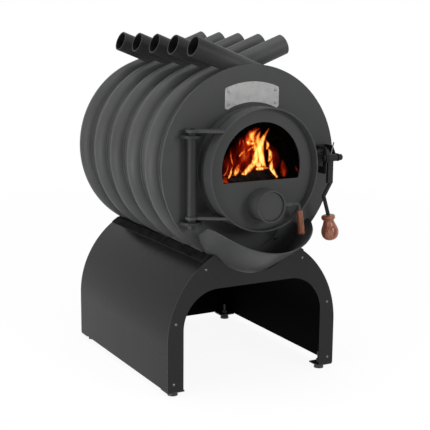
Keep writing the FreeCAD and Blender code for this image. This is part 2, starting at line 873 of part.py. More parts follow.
def door_arm(level):
    z0 = level - hinge_arm_sheet / 2
    drop = level - door_z
    inner = -math.sqrt((door_radius - door_wall / 2) ** 2 - drop ** 2)
    eye = upright(hinge_arm_radius, z0, z0 + hinge_arm_sheet)
    corners = [vec(-hinge_x, hinge_y + hinge_arm_radius, z0), vec(-hinge_x - hinge_arm_radius, hinge_y, z0)]
    corners.extend([vec(inner - 8, ring_front + 1, z0), vec(inner + 9, ring_front + 1, z0)])
    corners.extend([vec(inner + 9, ring_rear, z0), vec(inner - 3, ring_rear, z0)])
    web = Part.Face(Part.makePolygon(corners + [corners[0]])).extrude(vec(0, 0, hinge_arm_sheet))
    arm = joined([eye, web])
    arm = arm.cut(disc(door_radius, ring_front - 9, collar_y, 0, door_z))
    arm = arm.cut(upright(hinge_pin_radius + hinge_clearance, z0 - 1, z0 + hinge_arm_sheet + 1))
    return max(arm.Solids, key=lambda solid: solid.Volume)


def door_strike():
    dog_z = bolt_z + dog_arm * math.sin(math.radians(dog_angle))
    z0 = dog_z - strike_height / 2
    z1 = dog_z + strike_height / 2
    front = bolt_y + dog_arm * math.cos(math.radians(dog_angle)) + dog_radius + hinge_play
    tip = dog_tip_x - strike_gap
    y1 = collar_y - rope_gap
    root = block(door_radius - 12, door_radius + 5, ring_rear - 8, y1, z0, z1)
    nose = block(door_radius, tip, front, y1, z0, z1)
    return joined([root, nose]).cut(disc(door_radius, ring_front, collar_y + 1, 0, door_z))


save("door_ring", door_ring())
save("door_face", door_face())
save("door_rope_seal", rope_seal())
save("glass_gasket", glass_gasket())
save("window_glass", window_glass())
save("glass_clips", Part.makeCompound([glass_clip(angle) for angle in clip_angles]))
save("air_inlet", air_inlet())
save("door_arm_top", door_arm(arm_levels[0]))
save("door_arm_bottom", door_arm(arm_levels[1]))
save("door_strike", door_strike())


# Air damper: a flap on a cranked axle with a wooden handle

handle_lean = math.radians(damper_tilt)
handle_way = vec(math.sin(handle_lean), 0, -math.cos(handle_lean))
crank_x = air_radius + bush_length + damper_rod_reach
crank_turn = vec(crank_x, axle_y, air_z - damper_bend_radius)
crank_out = vec(math.cos(handle_lean), 0, math.sin(handle_lean))
crank_end = crank_turn.add(crank_out * damper_bend_radius)
handle_top = crank_end.add(handle_way * damper_handle_gap)


def damper_flap():
    y1 = axle_y - damper_axle_radius
    return disc(air_inner - damper_disc_clearance, y1 - damper_sheet, y1, 0, air_z)


def damper_rod():
    start = vec(crank_x, axle_y, air_z)
    axle = rod(damper_axle_radius, vec(-air_radius, axle_y, air_z), start)
    circle = Part.Face(Part.Wire(Part.makeCircle(damper_axle_radius, start, vec(1, 0, 0))))
    bend = circle.revolve(crank_turn, vec(0, 1, 0), 90 - damper_tilt)
    tang = rod(damper_axle_radius, crank_end, handle_top.add(handle_way * (damper_handle_length / 2)))
    return joined([axle, bend, tang])


def damper_handle():
    length = damper_handle_length
    radius = damper_handle_radius
    outline = [(0, 0), (0.7 * radius, 0), (0.82 * radius, 0.04 * length), (0.83 * radius, 0.3 * length)]
    outline.extend([(0.88 * radius, 0.6 * length), (radius, 0.9 * length), (0.94 * radius, 0.97 * length)])
    outline.extend([(0.5 * radius, length), (0, length)])
    handle = turned_profile(outline, handle_top, handle_way)
    socket = handle_top.add(handle_way * (length / 2))
    return handle.cut(rod(damper_axle_radius + axle_clearance, handle_top.sub(handle_way), socket))


save("damper_flap", damper_flap())
save("damper_rod", damper_rod())
save("damper_handle", damper_handle())


# Latch: a U bracket with a pivot bolt, a cranked lever with a dog, and a wooden knob

bolt_tip_x = latch_outer_x + latch_bolt_end
dog_lean = math.radians(dog_angle)
dog_y = bolt_y + dog_arm * math.cos(dog_lean)
dog_z = bolt_z + dog_arm * math.sin(dog_lean)
hub_x0 = latch_inner_x + latch_sheet + latch_hub_play
hub_x1 = latch_outer_x - latch_sheet - latch_hub_play
lever_x = (hub_x0 + hub_x1) / 2 - lever_shift
lever_points = [
    vec(lever_x, bolt_y, bolt_z),
    vec(lever_x + lever_bar_lean, bolt_y, axis_z - lever_bar_drop),
    vec(lever_x - lever_kink_lean, bolt_y, axis_z - lever_kink_drop),
    vec(lever_x - lever_end_lean, bolt_y, axis_z - lever_end_drop),
]
knob_lean = math.radians(knob_tilt)
knob_way = vec(math.sin(knob_lean), 0, -math.cos(knob_lean))
knob_top = lever_points[3].add(knob_way * knob_gap)


def inner_cheek():
    low = axis_z + latch_low
    high = axis_z + latch_high
    tip = plate_y - latch_front - plate_setback
    inner_x = latch_inner_x + latch_sheet
    cheek = block(latch_inner_x, inner_x, tip, plate_y, low, high)
    corners = [e for e in cheek.Edges if e.BoundBox.XLength > 0.9 * latch_sheet]
    corners = [e for e in corners if e.CenterOfMass.y < tip + 1]
    cheek = cheek.makeFillet(latch_corner, corners)
    nose = rod(latch_nose_radius, vec(latch_inner_x, bolt_y, bolt_z), vec(inner_x, bolt_y, bolt_z))
    near = bolt_y + dog_arm * math.cos(dog_lean) - dog_radius - dog_slot_clearance
    far = bolt_y + dog_arm + dog_radius + dog_slot_clearance
    slot_low = bolt_z - dog_arm * math.sin(dog_lean) - dog_radius - dog_slot_clearance
    slot_high = dog_z + dog_radius + dog_slot_clearance
    slot = block(latch_inner_x - 1, inner_x + 1, near, far, slot_low, slot_high)
    return joined([cheek, nose]).cut(slot)


def outer_cheek():
    # Tall at the plate, then sloping down to a round end about the bolt.
    x = latch_outer_x - latch_sheet
    low = bolt_z - latch_end_radius
    top = bolt_z + latch_end_radius
    high = axis_z + latch_high
    shoulder = plate_y - latch_shoulder
    corners = [vec(x, plate_y, low), vec(x, plate_y, high), vec(x, shoulder, high)]
    corners.extend([vec(x, shoulder - latch_slope, top), vec(x, bolt_y, top), vec(x, bolt_y, low)])
    cheek = Part.Face(Part.makePolygon(corners + [corners[0]])).extrude(vec(latch_sheet, 0, 0))
    end = rod(latch_end_radius, vec(x, bolt_y, bolt_z), vec(latch_outer_x, bolt_y, bolt_z))
    return joined([cheek, end])


def latch_bracket():
    low = axis_z + latch_low
    high = axis_z + latch_high
    back = block(latch_inner_x, latch_outer_x, plate_y - latch_back, plate_y, low, high)
    shape = joined([back, inner_cheek(), outer_cheek()])
    hole = latch_bolt_radius + latch_clearance
    start = vec(latch_inner_x - 1, bolt_y, bolt_z)
    return shape.cut(rod(hole, start, vec(latch_outer_x + 1, bolt_y, bolt_z)))


def latch_bolt():
    start = vec(latch_inner_x, bolt_y, bolt_z)
    end = vec(latch_outer_x, bolt_y, bolt_z)
    shank = rod(latch_bolt_radius, start, vec(bolt_tip_x, bolt_y, bolt_z))
    head = rod(latch_head_radius, start.sub(vec(latch_head_height, 0, 0)), start)
    nut = rod(latch_head_radius, end, end.add(vec(latch_nut_height, 0, 0)))
    return joined([shank, head, nut])


def hub_pin(radius):
    # A plain pin driven into the top of the lever's hub.
    lean = math.radians(hub_pin_lean)
    way = vec(math.sin(lean), 0, math.cos(lean))
    start = lever_points[0].add(way * ((latch_hub_radius - hub_pin_depth) / math.cos(lean)))
    return rod(radius, start, lever_points[0].add(way * hub_pin_reach))


def latch_lever():
    hub = rod(latch_hub_radius, vec(hub_x0, bolt_y, bolt_z), vec(hub_x1, bolt_y, bolt_z))
    half = lever_bar_width / 2
    thick = lever_bar_depth / 2
    low = lever_points[1].z
    bar = block(lever_x - half, lever_x + half, bolt_y - thick, bolt_y + thick, low, bolt_z)
    shapes = [hub, bar]
    for start, end in zip(lever_points[1:], lever_points[2:] + [knob_top.add(knob_way * knob_socket)]):
        shapes.append(rod(lever_rod_radius, start, end))
        shapes.append(Part.makeSphere(lever_rod_radius, start))
    root_x = hub_x0 + dog_root
    arm = block(hub_x0, root_x, bolt_y, bolt_y + dog_arm, bolt_z - dog_radius, bolt_z + dog_radius)
    arm.rotate(vec(0, bolt_y, bolt_z), vec(1, 0, 0), dog_angle)
    shapes.append(arm)
    shapes.append(rod(dog_radius, vec(dog_tip_x, dog_y, dog_z), vec(root_x, dog_y, dog_z)))
    lever = joined(shapes)
    lever = lever.cut(hub_pin(hub_pin_radius + hole_clearance))
    bore = latch_bolt_radius + latch_clearance
    return lever.cut(rod(bore, vec(hub_x0 - 1, bolt_y, bolt_z), vec(hub_x1 + 1, bolt_y, bolt_z)))


def latch_knob():
    collar = knob_collar_radius
    neck = knob_neck_radius
    bulb = knob_bulb_radius
    long = knob_length
    outline = [(0, 0), (0.6 * collar, 0), (collar, 0.05 * long), (collar, 0.13 * long)]
    outline.extend([(1.13 * neck, 0.18 * long), (neck, 0.25 * long), (0.82 * bulb, 0.43 * long)])
    outline.extend([(0.97 * bulb, 0.56 * long), (bulb, 0.66 * long), (0.93 * bulb, 0.79 * long)])
    outline.extend([(0.7 * bulb, 0.92 * long), (0.4 * bulb, 0.985 * long), (0, long)])
    knob = turned_profile(outline, knob_top, knob_way)
    socket = knob_top.add(knob_way * knob_socket)
    return knob.cut(rod(lever_rod_radius + knob_clearance, knob_top.sub(knob_way), socket))


save("latch_bracket", latch_bracket())
save("latch_bolt", latch_bolt())
save("latch_lever", latch_lever())
save("latch_hub_pin", hub_pin(hub_pin_radius))
save("latch_knob", latch_knob())
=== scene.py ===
import math
import bpy
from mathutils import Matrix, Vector, noise


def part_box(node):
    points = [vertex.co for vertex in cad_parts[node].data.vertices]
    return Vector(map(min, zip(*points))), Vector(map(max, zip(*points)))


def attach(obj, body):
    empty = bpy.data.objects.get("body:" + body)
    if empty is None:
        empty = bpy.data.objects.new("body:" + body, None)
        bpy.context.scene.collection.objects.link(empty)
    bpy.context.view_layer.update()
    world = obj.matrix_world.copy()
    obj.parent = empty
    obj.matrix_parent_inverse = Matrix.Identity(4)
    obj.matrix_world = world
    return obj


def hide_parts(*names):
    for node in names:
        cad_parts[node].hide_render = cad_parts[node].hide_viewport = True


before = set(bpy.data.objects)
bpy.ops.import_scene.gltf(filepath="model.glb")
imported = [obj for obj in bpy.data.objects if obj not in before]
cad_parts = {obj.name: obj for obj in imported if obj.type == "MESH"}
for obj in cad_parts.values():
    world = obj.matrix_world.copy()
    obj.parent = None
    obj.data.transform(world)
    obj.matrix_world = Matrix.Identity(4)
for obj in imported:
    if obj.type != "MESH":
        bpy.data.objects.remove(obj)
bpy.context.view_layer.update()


# Stand sheets: arched front and rear panels, two rolled side sheets and a saddle plate,
# cut and folded from thin steel sheet, powder-coated dark grey with a satin sheen outside,
# and screwed together through the side sheets' flanges. Their insides and the folded hem
# under the drum are painted near-black as painted shade, and the side sheets and saddle
# plate wear a darker copy of the coat as painted shade.

panel_low, panel_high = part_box("stand_front_panel")
stand_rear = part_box("stand_rear_panel")[1].y
half_width = panel_high.x
spring_rise = 0.109
spring_z = panel_low.z + spring_rise
coat_depth = 0.001
hem_lift = 0.0003
# Painted shade: the near-black painted on the stand's insides.
inside_shade_tone = (0.003, 0.003, 0.0033, 1.0)


def add_node(tree, kind, inputs=None, **settings):
    made = tree.nodes.new(kind)
    for key, value in settings.items():
        setattr(made, key, value)
    for key, value in (inputs or {}).items():
        if isinstance(value, bpy.types.NodeSocket):
            tree.links.new(value, made.inputs[key])
        else:
            made.inputs[key].default_value = value
    return made


def calc(tree, operation, first, second=0.0, third=0.0):
    terms = {0: first, 1: second, 2: third}
    return add_node(tree, "ShaderNodeMath", terms, operation=operation).outputs[0]


def new_finish(name, sockets):
    finish = bpy.data.materials.new(name)
    finish.use_nodes = True
    shader = finish.node_tree.nodes["Principled BSDF"]
    for key, value in sockets.items():
        shader.inputs[key].default_value = value
    place = add_node(finish.node_tree, "ShaderNodeTexCoord").outputs["Object"]
    return finish, finish.node_tree, shader, place


def mottle(tree, place, scale, detail=4.0, stretch=(1.0, 1.0, 1.0)):
    turned = add_node(tree, "ShaderNodeMapping", {"Vector": place, "Scale": stretch})
    cloud = {"Vector": turned.outputs["Vector"], "Scale": scale, "Detail": detail, "Roughness": 0.55}
    return add_node(tree, "ShaderNodeTexNoise", cloud).outputs[0]


def colour_stops(tree, factor, stops):
    ramp = add_node(tree, "ShaderNodeValToRGB", {"Fac": factor})
    ends = ramp.color_ramp.elements
    ends[0].position, ends[0].color = stops[0][0], (*stops[0][1], 1.0)
    ends[1].position, ends[1].color = stops[-1][0], (*stops[-1][1], 1.0)
    for position, colour in stops[1:-1]:
        ends.new(position).color = (*colour, 1.0)
    return ramp.outputs["Color"]


def spread(tree, factor, low, high, start=0.3, end=0.7):
    sizes = {"Value": factor, "From Min": start, "From Max": end, "To Min": low, "To Max": high}
    return add_node(tree, "ShaderNodeMapRange", sizes).outputs["Result"]


def blended(tree, share, first, second):
    mixed = add_node(tree, "ShaderNodeMix", {0: share, 6: first, 7: second}, data_type="RGBA")
    return mixed.outputs[2]


def tint_and_gloss(tree, shader, tint, sheen):
    tree.links.new(tint, shader.inputs["Base Color"])
    tree.links.new(sheen, shader.inputs["Roughness"])


def rough_skin(tree, shader, height, strength, depth):
    bump = add_node(tree, "ShaderNodeBump", {"Height": height, "Strength": strength, "Distance": depth})
    tree.links.new(bump.outputs["Normal"], shader.inputs["Normal"])


def reach_from(tree, place, middle_z, lowest=-1.0):
    spot = add_node(tree, "ShaderNodeSeparateXYZ", {"Vector": place})
    rise = calc(tree, "MAXIMUM", calc(tree, "SUBTRACT", spot.outputs["Z"], middle_z), lowest)
    flat = add_node(tree, "ShaderNodeCombineXYZ", {"X": spot.outputs["X"], "Z": rise}).outputs["Vector"]
    return add_node(tree, "ShaderNodeVectorMath", {0: flat}, operation="LENGTH").outputs["Value"]


def between(tree, place, front, back):
    depth = add_node(tree, "ShaderNodeSeparateXYZ", {"Vector": place}).outputs["Y"]
    behind = calc(tree, "GREATER_THAN", depth, front)
    return calc(tree, "MULTIPLY", behind, calc(tree, "LESS_THAN", depth, back))


def coat_nodes(finish, *names):
    for name in names:
        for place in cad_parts[name].material_slots:
            place.material = finish


def powder_coat(name, tone, gloss):
    finish, tree, shader, place = new_finish(name, {"Specular IOR Level": gloss})
    dark_tone = (0.9 * tone, 0.91 * tone, 0.98 * tone)
    pale_tone = (1.1 * tone, 1.12 * tone, 1.2 * tone)
    outside = colour_stops(tree, mottle(tree, place, 7.0), [(0.3, dark_tone), (0.7, pale_tone)])
    # Painted shade: the insides between the panels and the folded hem under the drum are painted dark and
    # made metallic, so that they take no light.
    reach = reach_from(tree, place, spring_z, 0.0)
    within = calc(tree, "LESS_THAN", reach, half_width - coat_depth)
    between_panels = between(tree, place, panel_low.y + coat_depth, stand_rear - coat_depth)
    within = calc(tree, "MULTIPLY", within, between_panels)
    folded = calc(tree, "GREATER_THAN", reach, half_width + hem_lift)
    shaded = calc(tree, "MAXIMUM", within, folded)
    tint = blended(tree, within, outside, inside_shade_tone)
    # Painted shade: the mottled near-black painted on the hem under the drum.
    hem_shade_tones = [(0.35, (0.009, 0.009, 0.0093)), (0.65, (0.023, 0.023, 0.0236))]
    tint = blended(tree, folded, tint, colour_stops(tree, mottle(tree, place, 60.0), hem_shade_tones))
    sheen = spread(tree, mottle(tree, place, 12.0, 2.0), 0.25, 0.29)
    sheen = calc(tree, "MAXIMUM", sheen, calc(tree, "MULTIPLY", shaded, 0.95))
    tint_and_gloss(tree, shader, tint, sheen)
    tree.links.new(shaded, shader.inputs["Metallic"])
    rough_skin(tree, shader, mottle(tree, place, 700.0, 2.0), 0.08, 0.0003)
    return finish


panel_coat = powder_coat("satin_powder_coat", tone=0.009, gloss=0.2)
# Painted shade: the side sheets and saddle plate wear a darker, less glossy copy of the same coat.
shaded_sheet_coat = powder_coat("shaded_rolled_sheet_coat", tone=0.004, gloss=0.12)
coat_nodes(panel_coat, "stand_front_panel", "stand_rear_panel")
coat_nodes(shaded_sheet_coat, "stand_side_left", "stand_side_right", "stand_saddle_plate")


# Stand screws: small zinc-plated socket screws with domed heads, six on each panel,
# driven through the panel into the side sheets' flanges.

def zinc_plate():
    finish, tree, shader, place = new_finish("bright_zinc", {"Metallic": 1.0})
    tones = [(0.3, (0.08, 0.08, 0.078)), (0.7, (0.15, 0.15, 0.146))]
    tint = colour_stops(tree, mottle(tree, place, 400.0), tones)
    tint_and_gloss(tree, shader, tint, spread(tree, mottle(tree, place, 900.0), 0.22, 0.4))
    return finish


def start_tree(name, sizes):
    tree = bpy.data.node_groups.new(name, "GeometryNodeTree")
    tree.interface.new_socket("Geometry", in_out="INPUT", socket_type="NodeSocketGeometry")
    for label, value in sizes.items():
        kind = "NodeSocketInt" if isinstance(value, int) else "NodeSocketFloat"
        tree.interface.new_socket(label, in_out="INPUT", socket_type=kind)
    tree.interface.new_socket("Geometry", in_out="OUTPUT", socket_type="NodeSocketGeometry")
    return tree, add_node(tree, "NodeGroupInput").outputs


def end_tree(tree, geometry, finish, bore_finish=None):
    crease = 0.6
    whole = add_node(tree, "GeometryNodeRealizeInstances", {"Geometry": geometry}).outputs["Geometry"]
    welded = add_node(tree, "GeometryNodeMergeByDistance", {"Geometry": whole, "Distance": 0.00002})
    smooth = add_node(tree, "GeometryNodeSetShadeSmooth", {"Geometry": welded.outputs["Geometry"]})
    angle = add_node(tree, "GeometryNodeInputMeshEdgeAngle").outputs["Unsigned Angle"]
    sharp = add_node(tree, "FunctionNodeCompare", {0: angle, 1: crease}, operation="GREATER_THAN").outputs[0]
    crisp = {"Geometry": smooth.outputs["Geometry"], "Selection": sharp, "Shade Smooth": False}
    shape = add_node(tree, "GeometryNodeSetShadeSmooth", crisp, domain="EDGE").outputs["Geometry"]
    shape = {"Geometry": shape, "Material": finish}
    shape = add_node(tree, "GeometryNodeSetMaterial", shape).outputs["Geometry"]
    if bore_finish:
        bore = add_node(tree, "GeometryNodeInputNamedAttribute", {"Name": "bore"}, data_type="BOOLEAN")
        inside = {"Geometry": shape, "Selection": bore.outputs["Attribute"], "Material": bore_finish}
        shape = add_node(tree, "GeometryNodeSetMaterial", inside).outputs["Geometry"]
    add_node(tree, "NodeGroupOutput", {"Geometry": shape})


def grow(name, tree, sizes, points, edges=()):
    base = bpy.data.meshes.new(name)
    base.from_pydata(points, edges, [])
    piece = bpy.data.objects.new(name, base)
    bpy.context.scene.collection.objects.link(piece)
    shape = piece.modifiers.new("shape", "NODES")
    shape.node_group = tree
    for item in tree.interface.items_tree:
        if item.in_out == "INPUT" and item.name in sizes:
            shape[item.identifier] = sizes[item.name]
    grown = piece.evaluated_get(bpy.context.evaluated_depsgraph_get())
    mesh = bpy.data.meshes.new_from_object(grown)
    piece.modifiers.clear()
    piece.data = mesh
    return piece


def domed_heads(name, finish, socketed):
    tree, given = start_tree(name, {"Head radius": 0.0, "Head height": 0.0, "Turn": 0.0})
    ball = {"Segments": 24, "Rings": 16, "Radius": 1.0}
    ball = add_node(tree, "GeometryNodeMeshUVSphere", ball).outputs["Mesh"]
    radius, height = given["Head radius"], given["Head height"]
    flat = add_node(tree, "ShaderNodeCombineXYZ", {"X": radius, "Y": height, "Z": radius}).outputs["Vector"]
    head = add_node(tree, "GeometryNodeTransform", {"Geometry": ball, "Scale": flat}).outputs["Geometry"]
    if socketed:
        key_reach = -0.85
        key = {"Vertices": 6, "Radius": 0.5, "Depth": 1.0}
        key = add_node(tree, "GeometryNodeMeshCylinder", key).outputs["Mesh"]
        ahead = calc(tree, "MULTIPLY", height, key_reach)
        spot = add_node(tree, "ShaderNodeCombineXYZ", {"Y": ahead}).outputs["Vector"]
        key = {"Geometry": key, "Translation": spot, "Rotation": (math.pi / 2, 0.0, 0.0), "Scale": flat}
        key = add_node(tree, "GeometryNodeTransform", key).outputs["Geometry"]
        cut = add_node(tree, "GeometryNodeMeshBoolean", {"Mesh 1": head}, operation="DIFFERENCE")
        tree.links.new(key, cut.inputs["Mesh 2"])
        head = cut.outputs["Mesh"]
    turn = add_node(tree, "ShaderNodeCombineXYZ", {"Z": given["Turn"]}).outputs["Vector"]
    spots = {"Points": given["Geometry"], "Instance": head, "Rotation": turn}
    placed = add_node(tree, "GeometryNodeInstanceOnPoints", spots).outputs["Instances"]
    end_tree(tree, placed, finish)
    return tree


screw_head = {"Head radius": 0.0036, "Head height": 0.0024}
screw_rises = (0.0174, 0.1573, 0.2743)
screw_inset = 0.0155
screw_reach = half_width - screw_inset
screw_spots = []
for rise in screw_rises:
    z = panel_low.z + rise
    x = screw_reach if z < spring_z else math.sqrt(screw_reach ** 2 - (z - spring_z) ** 2)
    screw_spots.extend([(-x, z), (x, z)])
front_spots = [(x, panel_low.y, z) for x, z in screw_spots]
rear_spots = [(x, stand_rear, z) for x, z in screw_spots]
screw_tree = domed_heads("stand_screw_heads", zinc_plate(), socketed=True)
front_screws = grow("stand_screws_front", screw_tree, screw_head, front_spots)
rear_screws = grow("stand_screws_rear", screw_tree, dict(screw_head, Turn=math.pi), rear_spots)
for screws in (front_screws, rear_screws):
    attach(screws, "stove")
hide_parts("stand_screws")


# Feet: round pads on threaded studs through corner plates welded under the stand, each
# with a lock nut, all of blackened steel.

def black_steel():
    finish, tree, shader, place = new_finish("blackened_steel", {"Specular IOR Level": 0.4})
    tones = [(0.3, (0.008, 0.008, 0.0085)), (0.7, (0.018, 0.018, 0.019))]
    tint = colour_stops(tree, mottle(tree, place, 90.0), tones)
    tint_and_gloss(tree, shader, tint, spread(tree, mottle(tree, place, 200.0), 0.35, 0.55))
    rough_skin(tree, shader, mottle(tree, place, 1200.0, 2.0), 0.2, 0.0003)
    return finish


blackened = black_steel()
coat_nodes(blackened, "foot_brackets", "foot_lock_nuts")
for corner in ("front_left", "front_right", "rear_left", "rear_right"):
    coat_nodes(blackened, "foot_" + corner)


# Drum ends and shell: round steel plates, end rings and curved strips between the pipes,
# welded together and sprayed with matt charcoal heat-resistant paint, made paler round the
# shell as painted light and darker at the left outlets as painted shade; everything that
# faces the fire is black with soot.

plate_low, plate_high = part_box("front_plate")
plate_y = plate_low.y
plate_back = plate_high.y
axis_z = (plate_low.z + plate_high.z) / 2
rear_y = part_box("rear_plate")[0].y
face_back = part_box("door_face")[1].y
ring_low, ring_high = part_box("door_ring")
door_z = (ring_low.z + ring_high.z) / 2
soot_and_shade_tone = (0.004, 0.0038, 0.0036, 1.0)
drum_bore = 0.2005
ring_bore = 0.1362
soot_edge = 0.0005
face_edge = 0.0003
outlet_shade_x = (-0.1, 0.06)
outlet_shade_z = (axis_z + 0.19, axis_z + 0.23)


def sooted(tree, place):
    drum = calc(tree, "LESS_THAN", reach_from(tree, place, axis_z), drum_bore)
    firebox = between(tree, place, plate_back - soot_edge, rear_y + soot_edge)
    drum = calc(tree, "MULTIPLY", drum, firebox)
    mouth = calc(tree, "LESS_THAN", reach_from(tree, place, door_z), ring_bore)
    behind_door = between(tree, place, face_back - face_edge, rear_y + soot_edge)
    mouth = calc(tree, "MULTIPLY", mouth, behind_door)
    return calc(tree, "MAXIMUM", drum, mouth)


# Painted shade: a mask over the left outlets, where the paint is darkened.
def left_outlet_shade_mask(tree, place):
    spot = add_node(tree, "ShaderNodeSeparateXYZ", {"Vector": place}).outputs
    left = spread(tree, spot["X"], 1.0, 0.0, *outlet_shade_x)
    high = spread(tree, spot["Z"], 0.0, 1.0, *outlet_shade_z)
    return calc(tree, "MULTIPLY", left, high)


def heat_paint(name, tones, outlet_shade=0.0):
    finish, tree, shader, place = new_finish(name, {"Specular IOR Level": 0.12})
    tint = colour_stops(tree, mottle(tree, place, 5.0, 5.0), [(0.32, tones[0]), (0.68, tones[1])])
    # Painted shade: near the left outlets the paint is blended toward the near-black soot colour.
    painted_outlet_shade = calc(tree, "MULTIPLY", left_outlet_shade_mask(tree, place), outlet_shade)
    tint = blended(tree, painted_outlet_shade, tint, soot_and_shade_tone)
    inner = sooted(tree, place)
    sheen = spread(tree, mottle(tree, place, 22.0), 0.4, 0.5)
    sheen = calc(tree, "MAXIMUM", sheen, calc(tree, "MULTIPLY", inner, 0.9))
    tint_and_gloss(tree, shader, blended(tree, inner, tint, soot_and_shade_tone), sheen)
    tree.links.new(inner, shader.inputs["Metallic"])
    rough_skin(tree, shader, mottle(tree, place, 520.0, 3.0), 0.18, 0.0004)
    return finish


drum_tones = ((0.0345, 0.035, 0.0358), (0.0415, 0.042, 0.043))
# Painted light: the shell's pipes, strips, rings and seams wear a paler copy of the drum paint.
lit_shell_tones = ((0.042, 0.0425, 0.0434), (0.056, 0.0565, 0.0575))
drum_paint = heat_paint("charcoal_heat_paint", drum_tones)
lit_and_shaded_shell_paint = heat_paint("shell_heat_paint_lit_and_shaded", lit_shell_tones, outlet_shade=0.65)
coat_nodes(drum_paint, "front_plate", "rear_plate")
coat_nodes(lit_and_shaded_shell_paint, "shell_rings", "shell_strips_left", "shell_strips_right")


# Air pipes: ten lengths of steel pipe, each bent round one side of the drum so that its
# straight tails cross those of the other side at the top and at the bottom; they wear the
# shell's paint, made paler as painted light, and their bores are painted nearly black as
# painted shade.

# This near-black is real soot on the baffle and throttle disc, and painted shade in the pipe bores.
def soot_and_bore_shade():
    finish, tree, shader, place = new_finish("soot_and_bore_shade", {"Specular IOR Level": 0.1})
    tones = [(0.3, (0.002, 0.002, 0.002)), (0.75, (0.007, 0.0066, 0.0062))]
    tint = colour_stops(tree, mottle(tree, place, 60.0), tones)
    tint_and_gloss(tree, shader, tint, spread(tree, mottle(tree, place, 35.0), 0.8, 0.95))
    rough_skin(tree, shader, mottle(tree, place, 400.0), 0.4, 0.0006)
    return finish


soot_and_bore_shade_black = soot_and_bore_shade()
pipes_per_side = 5
pipe_slot = 0.0485
pipe_sizes = {"Pipe radius": 0.02415, "Wall": 0.0032, "Bend radius": 0.201}
pipe_sizes.update({"Count": pipes_per_side, "Pitch": 2 * pipe_slot, "First": 0.0})
outlet_angle = math.radians(21.0)
inlet_angle = math.radians(25.0)
outlet_reach = 0.132
inlet_length = 0.13


def in_a_row(tree, given, geometry, height):
    first = add_node(tree, "ShaderNodeCombineXYZ", {"Y": given["First"], "Z": height}).outputs["Vector"]
    pitch = add_node(tree, "ShaderNodeCombineXYZ", {"Y": given["Pitch"]}).outputs["Vector"]
    row = {"Count": given["Count"], "Start Location": first, "Offset": pitch}
    row = add_node(tree, "GeometryNodeMeshLine", row).outputs["Mesh"]
    placed = {"Points": row, "Instance": geometry}
    return add_node(tree, "GeometryNodeInstanceOnPoints", placed).outputs["Instances"]


def bent_pipes(finish, bore_finish):
    tree, given = start_tree("bent_air_pipes", pipe_sizes)
    bend_steps, round_steps = 72, 44
    line = add_node(tree, "GeometryNodeMeshToCurve", {"Mesh": given["Geometry"]}).outputs["Curve"]
    bend = {"Curve": line, "Count": bend_steps, "Radius": given["Bend radius"]}
    bend = add_node(tree, "GeometryNodeFilletCurve", bend, mode="POLY")
    here = add_node(tree, "GeometryNodeInputPosition").outputs["Position"]
    keep = add_node(tree, "GeometryNodeCaptureAttribute", {"Geometry": bend.outputs[0]})
    keep.capture_items.new("VECTOR", "centre")
    tree.links.new(here, keep.inputs["centre"])
    bore_radius = calc(tree, "SUBTRACT", given["Pipe radius"], given["Wall"])
    walls = []
    for radius in (given["Pipe radius"], bore_radius):
        ring = {"Resolution": round_steps, "Radius": radius}
        ring = add_node(tree, "GeometryNodeCurvePrimitiveCircle", ring).outputs["Curve"]
        swept = {"Curve": keep.outputs["Geometry"], "Profile Curve": ring}
        walls.append(add_node(tree, "GeometryNodeCurveToMesh", swept).outputs["Mesh"])
    outer, inner = walls
    inner = add_node(tree, "GeometryNodeFlipFaces", {"Mesh": inner}).outputs["Mesh"]
    mark = {"Geometry": inner, "Name": "bore", "Value": True}
    mark = add_node(tree, "GeometryNodeStoreNamedAttribute", mark, data_type="BOOLEAN", domain="FACE")
    inner = mark.outputs["Geometry"]
    faces = add_node(tree, "GeometryNodeInputMeshEdgeNeighbors").outputs["Face Count"]
    rim = add_node(tree, "FunctionNodeCompare", {2: faces, 3: 1}, data_type="INT", operation="EQUAL")
    inward = {0: keep.outputs["centre"], 1: here}
    inward = add_node(tree, "ShaderNodeVectorMath", inward, operation="SUBTRACT").outputs["Vector"]
    inward = {0: inward, "Scale": calc(tree, "DIVIDE", given["Wall"], given["Pipe radius"])}
    inward = add_node(tree, "ShaderNodeVectorMath", inward, operation="SCALE").outputs["Vector"]
    edge = {"Mesh": outer, "Selection": rim.outputs[0], "Offset": inward, "Offset Scale": 1.0}
    outer = add_node(tree, "GeometryNodeExtrudeMesh", edge, mode="EDGES").outputs["Mesh"]
    pipe = add_node(tree, "GeometryNodeJoinGeometry")
    tree.links.new(outer, pipe.inputs["Geometry"])
    tree.links.new(inner, pipe.inputs["Geometry"])
    end_tree(tree, in_a_row(tree, given, pipe.outputs["Geometry"], 0.0), finish, bore_finish)
    return tree


def pipe_route():
    # The straight tails, produced until they meet beside the drum; the bend rounds that corner.
    circle = pipe_sizes["Bend radius"]
    rise = (outlet_reach + circle * math.sin(outlet_angle)) / math.cos(outlet_angle)
    reach = circle * math.tan((math.pi - outlet_angle - inlet_angle) / 2)
    top = Vector((-circle * math.sin(outlet_angle), 0.0, circle * math.cos(outlet_angle)))
    low = Vector((-circle * math.sin(inlet_angle), 0.0, -circle * math.cos(inlet_angle)))
    up = Vector((math.cos(outlet_angle), 0.0, math.sin(outlet_angle)))
    down = Vector((math.cos(inlet_angle), 0.0, -math.sin(inlet_angle)))
    route = [top + up * rise, top - up * reach, low + down * inlet_length]
    return [(p.x, 0.0, p.z + axis_z) for p in route]


